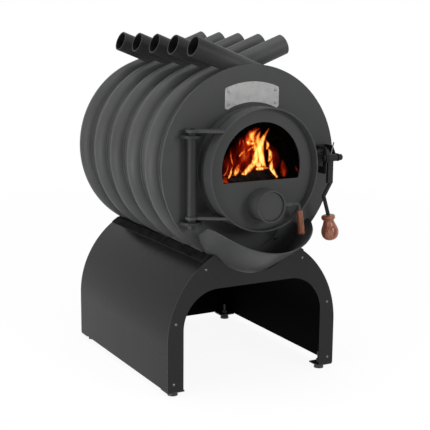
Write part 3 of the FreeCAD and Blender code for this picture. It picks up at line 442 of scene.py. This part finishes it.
pipe_tree = bent_pipes(lit_and_shaded_shell_paint, soot_and_bore_shade_black)
for side, name in ((1, "left"), (-1, "right")):
    pipe_nodes = ["tube_%s_%d" % (name, number + 1) for number in range(pipes_per_side)]
    low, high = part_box(pipe_nodes[0])
    row = dict(pipe_sizes, First=(low.y + high.y) / 2)
    route = [(side * x, y, z) for x, y, z in pipe_route()]
    pipes = grow("air_pipes_" + name, pipe_tree, row, route, [(0, 1), (1, 2)])
    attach(pipes, "stove")
    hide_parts(*pipe_nodes)


# Weld seams: a ripple of weld metal along every join between a pipe and the shell strip
# beside it, painted over with the shell.

seam_sizes = {"Seam radius": 0.2031, "Bead": 0.0021, "Start": 0.0, "Sweep": math.radians(102.0)}
seam_sizes.update({"Count": 2 * pipes_per_side + 1, "Pitch": pipe_slot, "First": 0.0})


def weld_seams(finish):
    tree, given = start_tree("weld_seams", seam_sizes)
    ripple_depth = 0.0016
    arc = {"Resolution": 200, "Radius": given["Seam radius"]}
    arc.update({"Start Angle": given["Start"], "Sweep Angle": given["Sweep"]})
    arc = add_node(tree, "GeometryNodeCurveArc", arc).outputs["Curve"]
    bead = {"Resolution": 8, "Radius": given["Bead"]}
    bead = add_node(tree, "GeometryNodeCurvePrimitiveCircle", bead).outputs["Curve"]
    seam = {"Curve": arc, "Profile Curve": bead, "Fill Caps": True}
    seam = add_node(tree, "GeometryNodeCurveToMesh", seam).outputs["Mesh"]
    ripple = add_node(tree, "ShaderNodeTexNoise", {"Scale": 260.0, "Detail": 1.0}).outputs["Color"]
    ripple = add_node(tree, "ShaderNodeVectorMath", {0: ripple, 1: (0.5, 0.5, 0.5)}, operation="SUBTRACT")
    ripple = {0: ripple.outputs["Vector"], "Scale": ripple_depth}
    ripple = add_node(tree, "ShaderNodeVectorMath", ripple, operation="SCALE").outputs["Vector"]
    seam = add_node(tree, "GeometryNodeSetPosition", {"Geometry": seam, "Offset": ripple}).outputs["Geometry"]
    seam = {"Geometry": seam, "Rotation": (math.pi / 2, 0.0, 0.0)}
    seam = add_node(tree, "GeometryNodeTransform", seam).outputs["Geometry"]
    end_tree(tree, in_a_row(tree, given, seam, axis_z), finish)
    return tree


seam_tree = weld_seams(lit_and_shaded_shell_paint)
seam_starts = {"weld_seams_left": math.radians(127.0), "weld_seams_right": math.radians(-49.0)}
pipe_low, pipe_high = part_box("tube_right_1")
first_seam = (pipe_low.y + pipe_high.y) / 2 - pipe_slot / 2
for name, start_angle in seam_starts.items():
    seam = dict(seam_sizes, First=first_seam, Start=start_angle)
    seams = grow(name, seam_tree, seam, [(0.0, 0.0, 0.0)])
    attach(seams, "stove")


# Inside the drum: a steel plate above the fire that turns the smoke back, lying on four
# welded tabs, all blackened by the fire.
coat_nodes(soot_and_bore_shade_black, "smoke_baffle", "baffle_tabs")


# Flue: a short steel pipe through the rear plate, with a throttle disc on a cranked rod
# of plain drawn steel.

def drawn_steel():
    finish, tree, shader, place = new_finish("drawn_steel", {"Metallic": 1.0})
    streaks = mottle(tree, place, 300.0, 3.0, (0.2, 1.0, 1.0))
    tint = colour_stops(tree, streaks, [(0.3, (0.06, 0.06, 0.062)), (0.7, (0.13, 0.13, 0.132))])
    tint_and_gloss(tree, shader, tint, spread(tree, mottle(tree, place, 90.0), 0.32, 0.5))
    return finish


steel = drawn_steel()
coat_nodes(drum_paint, "flue_spigot")
coat_nodes(soot_and_bore_shade_black, "throttle_plate")
coat_nodes(steel, "throttle_shaft")


# Door collar: a rolled steel ring welded round the fire opening and painted with the
# plate; the door's rope seal closes on it.
coat_nodes(drum_paint, "door_collar")


# Nameplate: a bare curved plate of satin silver metal above the door, cut from sheet and
# held to the front plate by four domed rivets.

def satin_silver():
    finish, tree, shader, place = new_finish("satin_silver", {"Metallic": 0.85, "Specular IOR Level": 0.4})
    speckle = mottle(tree, place, 900.0, 2.0)
    tint = colour_stops(tree, speckle, [(0.3, (0.165, 0.165, 0.165)), (0.7, (0.255, 0.255, 0.252))])
    tint_and_gloss(tree, shader, tint, spread(tree, mottle(tree, place, 120.0), 0.45, 0.6))
    rough_skin(tree, shader, speckle, 0.35, 0.0003)
    return finish


silver = satin_silver()
coat_nodes(silver, "nameplate")
name_low, name_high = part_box("nameplate")
rivet_inset = 0.0095
rivet_reaches = (0.1515, 0.1785)
rivet_x = name_high.x - rivet_inset
rivet_spots = []
for x in (-rivet_x, rivet_x):
    for reach in rivet_reaches:
        rivet_spots.append((x, name_low.y, axis_z + math.sqrt(reach ** 2 - x ** 2)))
rivet_head = {"Head radius": 0.0032, "Head height": 0.0016}
rivet_tree = domed_heads("nameplate_rivet_heads", silver, socketed=False)
rivets = grow("nameplate_rivet_heads", rivet_tree, rivet_head, rivet_spots)
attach(rivets, "stove")
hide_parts("nameplate_rivets")


# Ash lip: a scoop rolled from sheet steel under the door, painted with the drum and held
# to the front plate by two blackened screws.
coat_nodes(drum_paint, "ash_lip")
lip_screw_head = {"Head radius": 0.005, "Head height": 0.003}
lip_sheet = 0.003
lip_screw_x = 0.069
lip_screw_drop = 0.176
lip_spots = [(x, plate_y - lip_sheet, axis_z - lip_screw_drop) for x in (-lip_screw_x, lip_screw_x)]
lip_screw_tree = domed_heads("ash_lip_screw_heads", blackened, socketed=True)
lip_screws = grow("ash_lip_screw_heads", lip_screw_tree, lip_screw_head, lip_spots)
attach(lip_screws, "stove")
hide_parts("ash_lip_screws")


# Hinge: two steel lugs welded to the front plate, a long pin with a nut, a spacer sleeve
# between the door's arms, and two washers, all in the drum's heat paint made darker as
# painted shade.
hinge_shade_tones = ((0.016, 0.0163, 0.0167), (0.022, 0.0223, 0.0228))
shaded_hinge_paint = heat_paint("shaded_hinge_heat_paint", hinge_shade_tones)
coat_nodes(shaded_hinge_paint, "hinge_lugs", "hinge_sleeve", "hinge_pin", "hinge_washers")


# Door: a rolled ring with a recessed face plate, hung on two arms, with a strike for the
# latch and clips for the glass; welded from steel and painted with the drum.
coat_nodes(drum_paint, "door_ring", "door_face", "door_arm_top", "door_arm_bottom")
coat_nodes(drum_paint, "door_strike", "glass_clips")


# Door seal: a twisted glass-fibre rope glued into the rear of the door ring, flattened a
# little against the collar, and a flat gasket of the same fibre under the glass.

def fibre_rope():
    finish, tree, shader, place = new_finish("glass_fibre_rope", {"Specular IOR Level": 0.2})
    tones = [(0.3, (0.09, 0.088, 0.085)), (0.7, (0.19, 0.185, 0.18))]
    tint = colour_stops(tree, mottle(tree, place, 350.0), tones)
    tint_and_gloss(tree, shader, tint, spread(tree, mottle(tree, place, 200.0), 0.8, 0.95))
    rough_skin(tree, shader, mottle(tree, place, 1500.0), 0.5, 0.0004)
    return finish


rope_finish = fibre_rope()
coat_nodes(rope_finish, "glass_gasket")
seal_low, seal_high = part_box("door_rope_seal")
seal_half = 0.0045
seal_sizes = {"Ring radius": seal_high.x - seal_half, "Strand": 0.0015, "Width": 0.0029, "Depth": 0.0004}


def twisted_rope(finish):
    tree, given = start_tree("twisted_seal_rope", seal_sizes)
    strands, twists = 3, 60
    ring = {"Resolution": 720, "Radius": given["Ring radius"]}
    ring = add_node(tree, "GeometryNodeCurvePrimitiveCircle", ring).outputs["Curve"]
    along = add_node(tree, "GeometryNodeSplineParameter").outputs["Factor"]
    here = add_node(tree, "GeometryNodeInputPosition").outputs["Position"]
    out = add_node(tree, "ShaderNodeVectorMath", {0: here}, operation="NORMALIZE").outputs["Vector"]
    rope = add_node(tree, "GeometryNodeJoinGeometry")
    strand = {"Resolution": 8, "Radius": given["Strand"]}
    strand = add_node(tree, "GeometryNodeCurvePrimitiveCircle", strand).outputs["Curve"]
    for number in range(strands):
        phase = calc(tree, "MULTIPLY_ADD", along, math.tau * twists, math.tau * number / strands)
        swing = calc(tree, "MULTIPLY", calc(tree, "COSINE", phase), given["Width"])
        lift = calc(tree, "MULTIPLY", calc(tree, "SINE", phase), given["Depth"])
        side = add_node(tree, "ShaderNodeVectorMath", {0: out, "Scale": swing}, operation="SCALE")
        up = add_node(tree, "ShaderNodeCombineXYZ", {"Z": lift})
        shift = {0: side.outputs["Vector"], 1: up.outputs["Vector"]}
        shift = add_node(tree, "ShaderNodeVectorMath", shift, operation="ADD").outputs["Vector"]
        path = {"Geometry": ring, "Offset": shift}
        path = add_node(tree, "GeometryNodeSetPosition", path).outputs["Geometry"]
        swept = {"Curve": path, "Profile Curve": strand}
        swept = add_node(tree, "GeometryNodeCurveToMesh", swept).outputs["Mesh"]
        tree.links.new(swept, rope.inputs["Geometry"])
    place = (0.0, (seal_low.y + seal_high.y) / 2, (seal_low.z + seal_high.z) / 2)
    turned = {"Geometry": rope.outputs["Geometry"], "Translation": place}
    turned["Rotation"] = (math.pi / 2, 0.0, 0.0)
    turned = add_node(tree, "GeometryNodeTransform", turned).outputs["Geometry"]
    end_tree(tree, turned, finish)
    return tree


seal = grow("door_seal_rope", twisted_rope(rope_finish), seal_sizes, [(0.0, 0.0, 0.0)])
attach(seal, "door")
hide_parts("door_rope_seal")


# Window: a clear glass-ceramic pane behind the cut circle in the door's face, held by
# clips, faintly smoked by the fire.

def smoked_glass():
    clear = {"Alpha": 0.06, "Specular IOR Level": 0.0}
    finish, tree, shader, place = new_finish("smoked_glass_ceramic", clear)
    tones = [(0.3, (0.004, 0.003, 0.003)), (0.7, (0.012, 0.009, 0.007))]
    haze = colour_stops(tree, mottle(tree, place, 18.0), tones)
    tint_and_gloss(tree, shader, haze, spread(tree, mottle(tree, place, 25.0), 0.04, 0.12))
    return finish


coat_nodes(smoked_glass(), "window_glass")


# Ash bed: grey wood ash with live embers, lying loose in the bottom of the firebox and
# shaped by the round drum under it.

def charred(name, skin, crack_scale, glow):
    finish, tree, shader, place = new_finish(name, {"Specular IOR Level": 0.15, "Roughness": 0.9})
    patches = mottle(tree, place, 38.0, 6.0)
    tree.links.new(colour_stops(tree, patches, skin), shader.inputs["Base Color"])
    cracks = {"Vector": place, "Scale": crack_scale}
    cracks = add_node(tree, "ShaderNodeTexVoronoi", cracks, feature="DISTANCE_TO_EDGE").outputs["Distance"]
    hot = spread(tree, cracks, 1.0, 0.0, 0.0, 0.09)
    live = spread(tree, mottle(tree, place, 16.0, 2.0), 0.0, 1.0, 0.5, 0.68)
    heat = calc(tree, "MULTIPLY", hot, live)
    embers = [(0.0, (0.0, 0.0, 0.0)), (0.45, (0.35, 0.02, 0.0)), (1.0, (1.0, 0.22, 0.02))]
    tree.links.new(colour_stops(tree, heat, embers), shader.inputs["Emission Color"])
    shader.inputs["Emission Strength"].default_value = glow
    rough_skin(tree, shader, cracks, 0.6, 0.004)
    return finish


def shell_piece(name, points, faces, finish, smooth=True):
    mesh = bpy.data.meshes.new(name)
    mesh.from_pydata(points, [], faces)
    mesh.validate()
    mesh.polygons.foreach_set("use_smooth", [smooth] * len(mesh.polygons))
    mesh.materials.append(finish)
    piece = bpy.data.objects.new(name, mesh)
    bpy.context.scene.collection.objects.link(piece)
    return piece


def ash_bed():
    across, along = 36, 60
    front, back = plate_back + 0.012, 0.2
    half, under = 0.128, 0.1745
    grain, heap, sag = 0.006, 0.012, 0.01
    least, skin = 0.001, 0.0005
    rim_z = axis_z - math.sqrt(under ** 2 - half ** 2)
    points = []
    for j in range(along + 1):
        y = front + (back - front) * j / along
        for i in range(across + 1):
            x = half * (2 * i / across - 1)
            floor_z = axis_z - math.sqrt(under ** 2 - x ** 2)
            lump = grain * noise.noise(Vector((x * 45, y * 45, 0.0)))
            lump = lump + heap * noise.noise(Vector((x * 14, y * 14, 4.0)))
            edge = 1 - (x / half) ** 4
            points.append((x, y, max(floor_z + least, rim_z + (lump - sag) * edge)))
    count = len(points)
    for x, y, z in points[:count]:
        points.append((x, y, axis_z - math.sqrt(under ** 2 - x ** 2) - skin))
    faces = []
    wide = across + 1
    for j in range(along):
        for i in range(across):
            a = j * wide + i
            faces.append((a, a + 1, a + 1 + wide, a + wide))
            faces.append((count + a, count + a + wide, count + a + 1 + wide, count + a + 1))
    for i in range(across):
        a, b = i, along * wide + i
        faces.append((a + 1, a, count + a, count + a + 1))
        faces.append((b, b + 1, count + b + 1, count + b))
    for j in range(along):
        a, b = j * wide, j * wide + across
        faces.append((a, a + wide, count + a + wide, count + a))
        faces.append((b + wide, b, count + b, count + b + wide))
    return points, faces


ash_skin = [(0.35, (0.012, 0.011, 0.01)), (0.55, (0.05, 0.047, 0.044)), (0.75, (0.14, 0.135, 0.13))]
ash_finish = charred("ash_and_embers", ash_skin, crack_scale=70.0, glow=1.6)
ash = shell_piece("fire_ash_bed", *ash_bed(), ash_finish)
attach(ash, "stove")


# Logs: three split logs of firewood laid across each other on the ash, charred black,
# with glowing cracks where the fire eats into them.

def log_shape(start, end, radius, seed):
    axis = (end - start).normalized()
    aside = axis.cross(Vector((0.0, 0.0, 1.0))).normalized()
    above = aside.cross(axis)
    around, steps = 40, 44
    split_depth, bark_depth, end_shrink = 0.16, 0.09, 0.06
    points = []
    for j in range(steps + 1):
        middle = start.lerp(end, j / steps)
        for i in range(around):
            turn = math.tau * i / around
            way = aside * math.cos(turn) + above * math.sin(turn)
            split = 1.0 - split_depth * max(0.0, math.cos(turn - seed)) ** 3
            coarse = noise.noise(way * 2.5 + axis * (j * 0.22) + Vector((seed * 9.0, 0.0, 0.0)))
            fine = noise.noise(way * 9.0 + axis * (j * 0.6) + Vector((0.0, seed * 5.0, 0.0)))
            bark = coarse + 0.5 * fine
            end_round = 1.0 - end_shrink * (j in (0, steps))
            points.append(middle + way * radius * (split + bark_depth * bark) * end_round)
    faces = []
    for j in range(steps):
        for i in range(around):
            a, b = j * around + i, j * around + (i + 1) % around
            faces.append((a, b, b + around, a + around))
    points.append(start.copy())
    points.append(end.copy())
    first, last = len(points) - 2, len(points) - 1
    for i in range(around):
        a, b = i, (i + 1) % around
        faces.append((first, b, a))
        faces.append((last, steps * around + a, steps * around + b))
    return points, faces


log_skin = [(0.35, (0.0035, 0.003, 0.003)), (0.6, (0.012, 0.01, 0.009)), (0.8, (0.05, 0.047, 0.045))]
log_finish = charred("charred_wood", log_skin, crack_scale=55.0, glow=1.0)
fire_place = Vector((0.0, plate_back, axis_z))

# Each log: its two ends from the fire's place, its radius, and the seed of its bark.
log_places = [
    (Vector((-0.045, 0.027, -0.0735)), Vector((0.097, 0.072, -0.0655)), 0.041, 0.6),
    (Vector((-0.06, 0.142, -0.0745)), Vector((0.11, 0.107, -0.0695)), 0.04, 2.1),
    (Vector((-0.105, 0.072, -0.0845)), Vector((-0.02, 0.272, -0.0825)), 0.036, 4.0),
]
points, faces = [], []
for start, end, radius, seed in log_places:
    some_points, some_faces = log_shape(start, end, radius, seed)
    faces.extend([tuple(len(points) + k for k in face) for face in some_faces])
    points.extend([p + fire_place for p in some_points])
logs = shell_piece("fire_logs", points, faces, log_finish)
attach(logs, "stove")


# Flames: tongues of fire rising from the logs, each a soft ribbon that is bright along
# its middle and fades at its edges.

def flame_light():
    finish, tree, shader, place = new_finish("flame", {"Specular IOR Level": 0.0, "Roughness": 1.0})
    shader.inputs["Base Color"].default_value = (0.0, 0.0, 0.0, 1.0)
    sheet_place = add_node(tree, "ShaderNodeUVMap").outputs["UV"]
    spot = add_node(tree, "ShaderNodeSeparateXYZ", {"Vector": sheet_place}).outputs
    away = calc(tree, "MULTIPLY_ADD", spot["X"], 2.0, -1.0)
    body = spread(tree, calc(tree, "MULTIPLY", away, away), 1.0, 0.0, 0.0, 1.0)
    foot = spread(tree, spot["Y"], 0.0, 1.0, 0.0, 0.1)
    tip = spread(tree, spot["Y"], 1.0, 0.25, 0.55, 1.0)
    wisps = mottle(tree, place, 150.0, 3.0, (1.0, 1.0, 0.3))
    wisps = spread(tree, wisps, 0.3, 1.3, 0.32, 0.64)
    heat = add_node(tree, "ShaderNodeAttribute", attribute_name="glow_level").outputs["Fac"]
    for share in (foot, tip, wisps, heat):
        body = calc(tree, "MULTIPLY", body, share)
    stops = [(0.0, (0.3, 0.0, 0.0)), (0.22, (0.7, 0.03, 0.006)), (0.45, (1.0, 0.24, 0.025))]
    stops.extend([(0.75, (1.0, 0.5, 0.07)), (1.0, (1.0, 0.72, 0.24))])
    tree.links.new(colour_stops(tree, body, stops), shader.inputs["Emission Color"])
    shader.inputs["Emission Strength"].default_value = 3.0
    tree.links.new(spread(tree, body, 0.0, 0.44, 0.0, 0.75), shader.inputs["Alpha"])
    return finish


# Each tongue: foot and tip (x, z) from the fire's place, sideways bend, half width, depth
# behind the plate, and heat; the sizes are in millimetres.
tongues = [
    ((77, -23), (85, 72), -17, 9, 54, 1.2),
    ((40, -11), (52, 56), 8, 9, 50, 1.1),
    ((3, -35), (49, 23), 5, 8, 38, 1.0),
    ((89, -9), (79, 30), 6, 6, 59, 0.9),
    ((77, 22), (76, 48), 5, 4, 57, 0.8),
    ((114, -48), (107, -1), -11, 7, 62, 1.15),
    ((46, -21), (88, -21), 1, 5, 52, 0.95),
    ((45, 41), (17, 58), -9, 4, 46, 0.95),
    ((57, 38), (63, 73), -14, 7, 66, 0.75),
    ((43, 32), (13, 19), 5, 3, 43, 0.7),
    ((-6, 12), (14, 23), -5, 3, 40, 0.7),
    ((-44, -35), (-26, -7), 2, 3, 28, 0.95),
    ((-23, -29), (-2, -1), 2, 7, 32, 0.85),
    ((-20, -9), (-31, 37), 0, 2, 36, 0.42),
    ((-51, -31), (-45, 5), 6, 2, 27, 0.38),
    ((3, 32), (0, 58), -1, 2, 48, 0.36),
    ((14, 34), (10, 54), -1, 2, 52, 0.34),
    ((157, -55), (158, -11), 0, 9, 102, 0.2),
    ((187, -44), (182, -25), 1, 2, 82, 0.2),
    ((72, -26), (79, 53), -5, 17, 72, 0.95),
    ((60, 15), (67, 66), -4, 11, 68, 0.75),
    ((48, 28), (60, 74), -9, 13, 74, 0.45),
    ((30, -12), (47, 60), -6, 16, 78, 0.28),
    ((42, -45), (59, 61), -7, 44, 84, 0.12),
    ((116, -32), (111, 32), 6, 17, 88, 0.12),
    ((-3, -47), (-1, 22), 0, 22, 80, 0.11),
]


def flame_ribbons():
    points, faces, shares, heats = [], [], [], []
    steps, wide = 28, 8
    mean_yaw, yaw_swing = -29.0, 14.0
    sway, cup = 5.0, 2.0
    foot_phase, tip_phase = 0.15, 0.97
    for number, (foot, tip, bend, half, depth, heat) in enumerate(tongues):
        yaw = math.radians(mean_yaw + yaw_swing * math.sin(number * 2.4))
        aside = Vector((math.cos(yaw), math.sin(yaw), 0.0))
        rise = Vector(tip) - Vector(foot)
        beside = Vector((rise.y, -rise.x)).normalized()
        base = len(points)
        for j in range(steps + 1):
            up = j / steps
            x, z = Vector(foot) + rise * up + beside * (bend * math.sin(math.pi * up))
            ahead = rise + beside * (bend * math.pi * math.cos(math.pi * up))
            lean = math.atan2(ahead.y, ahead.x) - math.pi / 2
            across = aside * math.cos(lean) + Vector((0.0, 0.0, math.sin(lean)))
            phase = foot_phase + (tip_phase - foot_phase) * up
            breadth = half * math.sin(math.pi * phase)
            for i in range(wide + 1):
                share = i / wide
                off = 2 * share - 1
                middle = Vector((x, depth + sway * math.sin(3.0 * up + number), z))
                bow = aside.cross(Vector((0.0, 0.0, 1.0))) * (cup * off ** 2)
                points.append((middle + across * (breadth * off) + bow) / 1000 + fire_place)
                shares.append((share, up))
                heats.append(heat)
        for j in range(steps):
            for i in range(wide):
                a = base + j * (wide + 1) + i
                faces.append((a, a + 1, a + wide + 2, a + wide + 1))
    return points, faces, shares, heats


points, faces, shares, heats = flame_ribbons()
flames = shell_piece("fire_flames", points, faces, flame_light())
sheet = flames.data.uv_layers.new(name="UVMap")
for loop in flames.data.loops:
    sheet.data[loop.index].uv = shares[loop.vertex_index]
flames.data.attributes.new("glow_level", "FLOAT", "POINT").data.foreach_set("value", heats)
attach(flames, "stove")


# Air inlet: a short pipe welded through the door's face, with a bush for the damper's
# axle; the flap inside turns on a bent steel rod; all painted with the drum.
coat_nodes(drum_paint, "air_inlet", "damper_flap", "damper_rod")


# Damper handle: a slim stick of reddish-brown wood, turned, oiled and pushed onto the end
# of the bent rod.

def oiled_wood(name, tones):
    finish, tree, shader, place = new_finish(name, {"Specular IOR Level": 0.3})
    streaks = mottle(tree, place, 260.0, 5.0, (1.0, 1.0, 0.09))
    broad = mottle(tree, place, 60.0, 3.0, (1.0, 1.0, 0.2))
    grain = calc(tree, "MULTIPLY", calc(tree, "ADD", streaks, broad), 0.5)
    tint = colour_stops(tree, grain, tones)
    tint_and_gloss(tree, shader, tint, spread(tree, streaks, 0.18, 0.32))
    rough_skin(tree, shader, streaks, 0.15, 0.0004)
    return finish


def along_curve(stops, share):
    place = share * (len(stops) - 1)
    k = min(int(place), len(stops) - 2)
    t = place - k
    before = Vector(stops[max(k - 1, 0)])
    after = Vector(stops[min(k + 2, len(stops) - 1)])
    a, b = Vector(stops[k]), Vector(stops[k + 1])
    lean_a, lean_b = (b - before) / 2, (after - a) / 2
    square = 3 * (b - a) - 2 * lean_a - lean_b
    cube = 2 * (a - b) + lean_a + lean_b
    return a + lean_a * t + square * t * t + cube * t ** 3


def turned_wood(name, profile, sizes, start, tilt, finish):
    radius, length = sizes
    stops = [(r * radius, t * length) for r, t in profile]
    way = Vector((math.sin(tilt), 0.0, -math.cos(tilt)))
    around, steps = 48, 90
    least = 0.0002
    aside = way.cross(Vector((0.0, 1.0, 0.0))).normalized()
    above = way.cross(aside)
    points = [start + way * stops[0][1]]
    for j in range(1, steps):
        radius, reach = along_curve(stops, j / steps)
        for i in range(around):
            turn = math.tau * i / around
            ring = aside * math.cos(turn) + above * math.sin(turn)
            points.append(start + way * reach + ring * max(radius, least))
    points.append(start + way * stops[-1][1])
    last = len(points) - 1
    faces = []
    for i in range(around):
        a, b = 1 + i, 1 + (i + 1) % around
        faces.append((0, a, b))
        faces.append((last, last - around + (i + 1) % around, last - around + i))
        for j in range(steps - 2):
            near, far = j * around, (j + 1) * around
            faces.append((a + near, a + far, b + far, b + near))
    return shell_piece(name, points, faces, finish)


handle_tones = [(0.36, (0.06, 0.018, 0.009)), (0.5, (0.13, 0.042, 0.021)), (0.64, (0.22, 0.08, 0.042))]
handle_wood = oiled_wood("red_brown_wood", handle_tones)
handle_low, handle_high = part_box("damper_handle")
handle_sizes = (0.0086, 0.057)
handle_tilt = math.radians(7.6)
handle_x, handle_drop = 0.079913, 0.098044
handle_start = Vector((handle_x, (handle_low.y + handle_high.y) / 2, axis_z - handle_drop))
handle_profile = [
    (0.0, 0.0), (0.4, 0.0), (0.74, 0.01), (0.82, 0.05), (0.82, 0.18), (0.83, 0.34), (0.86, 0.55),
    (0.94, 0.78), (1.0, 0.9), (0.97, 0.96), (0.75, 0.992), (0.4, 1.0), (0.0, 1.0),
]
handle = turned_wood("damper_stick", handle_profile, handle_sizes, handle_start, handle_tilt, handle_wood)
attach(handle, "air_damper")
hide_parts("damper_handle")


# Latch: a folded steel bracket welded to the front plate, a pivot bolt with its nut, a
# forged lever whose dog reaches through the bracket's slot, all painted nearly black, and
# a pin of plain drawn steel in the lever's hub.
latch_tones = ((0.009, 0.009, 0.0095), (0.015, 0.015, 0.016))
latch_paint = heat_paint("black_latch_paint", latch_tones)
coat_nodes(latch_paint, "latch_bracket", "latch_lever", "latch_bolt")
coat_nodes(steel, "latch_hub_pin")


# Latch knob: a turned and oiled pear-shaped knob of reddish-brown wood with a collar and
# two cut rings, pushed onto the end of the lever.
knob_low, knob_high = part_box("latch_knob")
knob_sizes = (0.0204, 0.061)
knob_tilt = math.radians(9.5)
knob_x, knob_drop = 0.181825, 0.123932
knob_start = Vector((knob_x, (knob_low.y + knob_high.y) / 2, axis_z - knob_drop))
knob_profile = [
    (0.0, 0.0), (0.35, 0.0), (0.66, 0.012), (0.785, 0.05), (0.79, 0.085), (0.72, 0.1), (0.79, 0.115),
    (0.77, 0.14), (0.655, 0.18), (0.612, 0.24), (0.665, 0.31), (0.79, 0.42), (0.81, 0.43), (0.78, 0.44),
    (0.84, 0.455), (0.95, 0.56), (1.0, 0.66), (0.98, 0.75), (0.9, 0.84), (0.74, 0.92), (0.5, 0.975),
    (0.25, 0.996), (0.0, 1.0),
]
knob_tones = [(0.36, (0.07, 0.02, 0.011)), (0.5, (0.17, 0.052, 0.028)), (0.64, (0.32, 0.12, 0.07))]
knob_wood = oiled_wood("polished_red_wood", knob_tones)
knob = turned_wood("latch_pear_knob", knob_profile, knob_sizes, knob_start, knob_tilt, knob_wood)
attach(knob, "latch")
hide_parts("latch_knob")


# Studio: a plain white floor that keeps the stove's soft shadow, a white surround, soft
# lamps above, to the left, low on the left and in front on the right, and a camera a
# little above the stove and to the left of its door.

def seen_directly(tree):
    path = add_node(tree, "ShaderNodeLightPath").outputs
    seen = calc(tree, "MAXIMUM", path["Is Camera Ray"], path["Is Glossy Ray"])
    return calc(tree, "MAXIMUM", seen, path["Is Transmission Ray"])


def studio_floor():
    finish, tree, shader, place = new_finish("studio_floor", {"Specular IOR Level": 0.0, "Roughness": 0.9})
    tint = colour_stops(tree, mottle(tree, place, 3.0), [(0.3, (0.88, 0.88, 0.88)), (0.7, (0.9, 0.9, 0.9))])
    tree.links.new(tint, shader.inputs["Base Color"])
    distance = add_node(tree, "ShaderNodeVectorMath", {0: place}, operation="LENGTH").outputs["Value"]
    part = calc(tree, "MULTIPLY", seen_directly(tree), spread(tree, distance, 0.92, 1.0, 0.8, 3.0))
    white = add_node(tree, "ShaderNodeEmission", {"Color": (1.0, 1.0, 1.0, 1.0), "Strength": 1.0})
    mixed = {0: part, 1: shader.outputs["BSDF"], 2: white.outputs["Emission"]}
    mixed = add_node(tree, "ShaderNodeMixShader", mixed)
    tree.links.new(mixed.outputs["Shader"], tree.nodes["Material Output"].inputs["Surface"])
    return finish


def studio_surround(level):
    world = bpy.data.worlds.new("studio")
    bpy.context.scene.world = world
    world.use_nodes = True
    backdrop = world.node_tree.nodes["Background"]
    strength = spread(world.node_tree, seen_directly(world.node_tree), level, 1.0, 0.0, 1.0)
    world.node_tree.links.new(strength, backdrop.inputs["Strength"])
    backdrop.inputs["Color"].default_value = (1.0, 1.0, 1.0, 1.0)


def soft_lamp(name, spot, target, size, power):
    light = bpy.data.lights.new(name, "AREA")
    light.shape = "DISK"
    light.size = size
    light.energy = power
    lamp = bpy.data.objects.new(name, light)
    bpy.context.scene.collection.objects.link(lamp)
    lamp.location = spot
    lamp.rotation_euler = (Vector(target) - Vector(spot)).to_track_quat("-Z", "Y").to_euler()


floor_reach = 30.0
floor_points = [(-floor_reach, -floor_reach, 0.0), (floor_reach, -floor_reach, 0.0)]
floor_points += [(floor_reach, floor_reach, 0.0), (-floor_reach, floor_reach, 0.0)]
floor = shell_piece("studio_floor", floor_points, [(0, 1, 2, 3)], studio_floor(), smooth=False)
studio_surround(level=0.5)
soft_lamp("lamp_above", (-0.4, -0.2, 3.0), (0.0, 0.0, 0.5), size=2.4, power=52.0)
soft_lamp("lamp_left", (-2.4, -1.2, 0.5), (0.0, 0.0, 0.35), size=1.6, power=28.0)
soft_lamp("lamp_low", (-1.5, -0.2, 0.12), (0.0, 0.15, 0.4), size=0.4, power=10.0)
soft_lamp("lamp_right", (0.9, -2.7, 1.1), (0.0, 0.0, 0.5), size=0.9, power=30.0)

camera = bpy.data.objects.new("photo_camera", bpy.data.cameras.new("photo_camera"))
bpy.context.scene.collection.objects.link(camera)
camera.location = (-1.20607, panel_low.y - 1.95991, panel_low.z + 0.84054)
camera.rotation_euler = (math.radians(78.868), math.radians(-0.489), math.radians(-29.13))
camera.data.lens = 86.35
camera.data.sensor_width = 36.0
camera.data.shift_x = 0.0018
camera.data.shift_y = -0.0012
camera.data.clip_end = 100.0
bpy.context.scene.camera = camera
bpy.context.scene.view_settings.view_transform = "Standard"
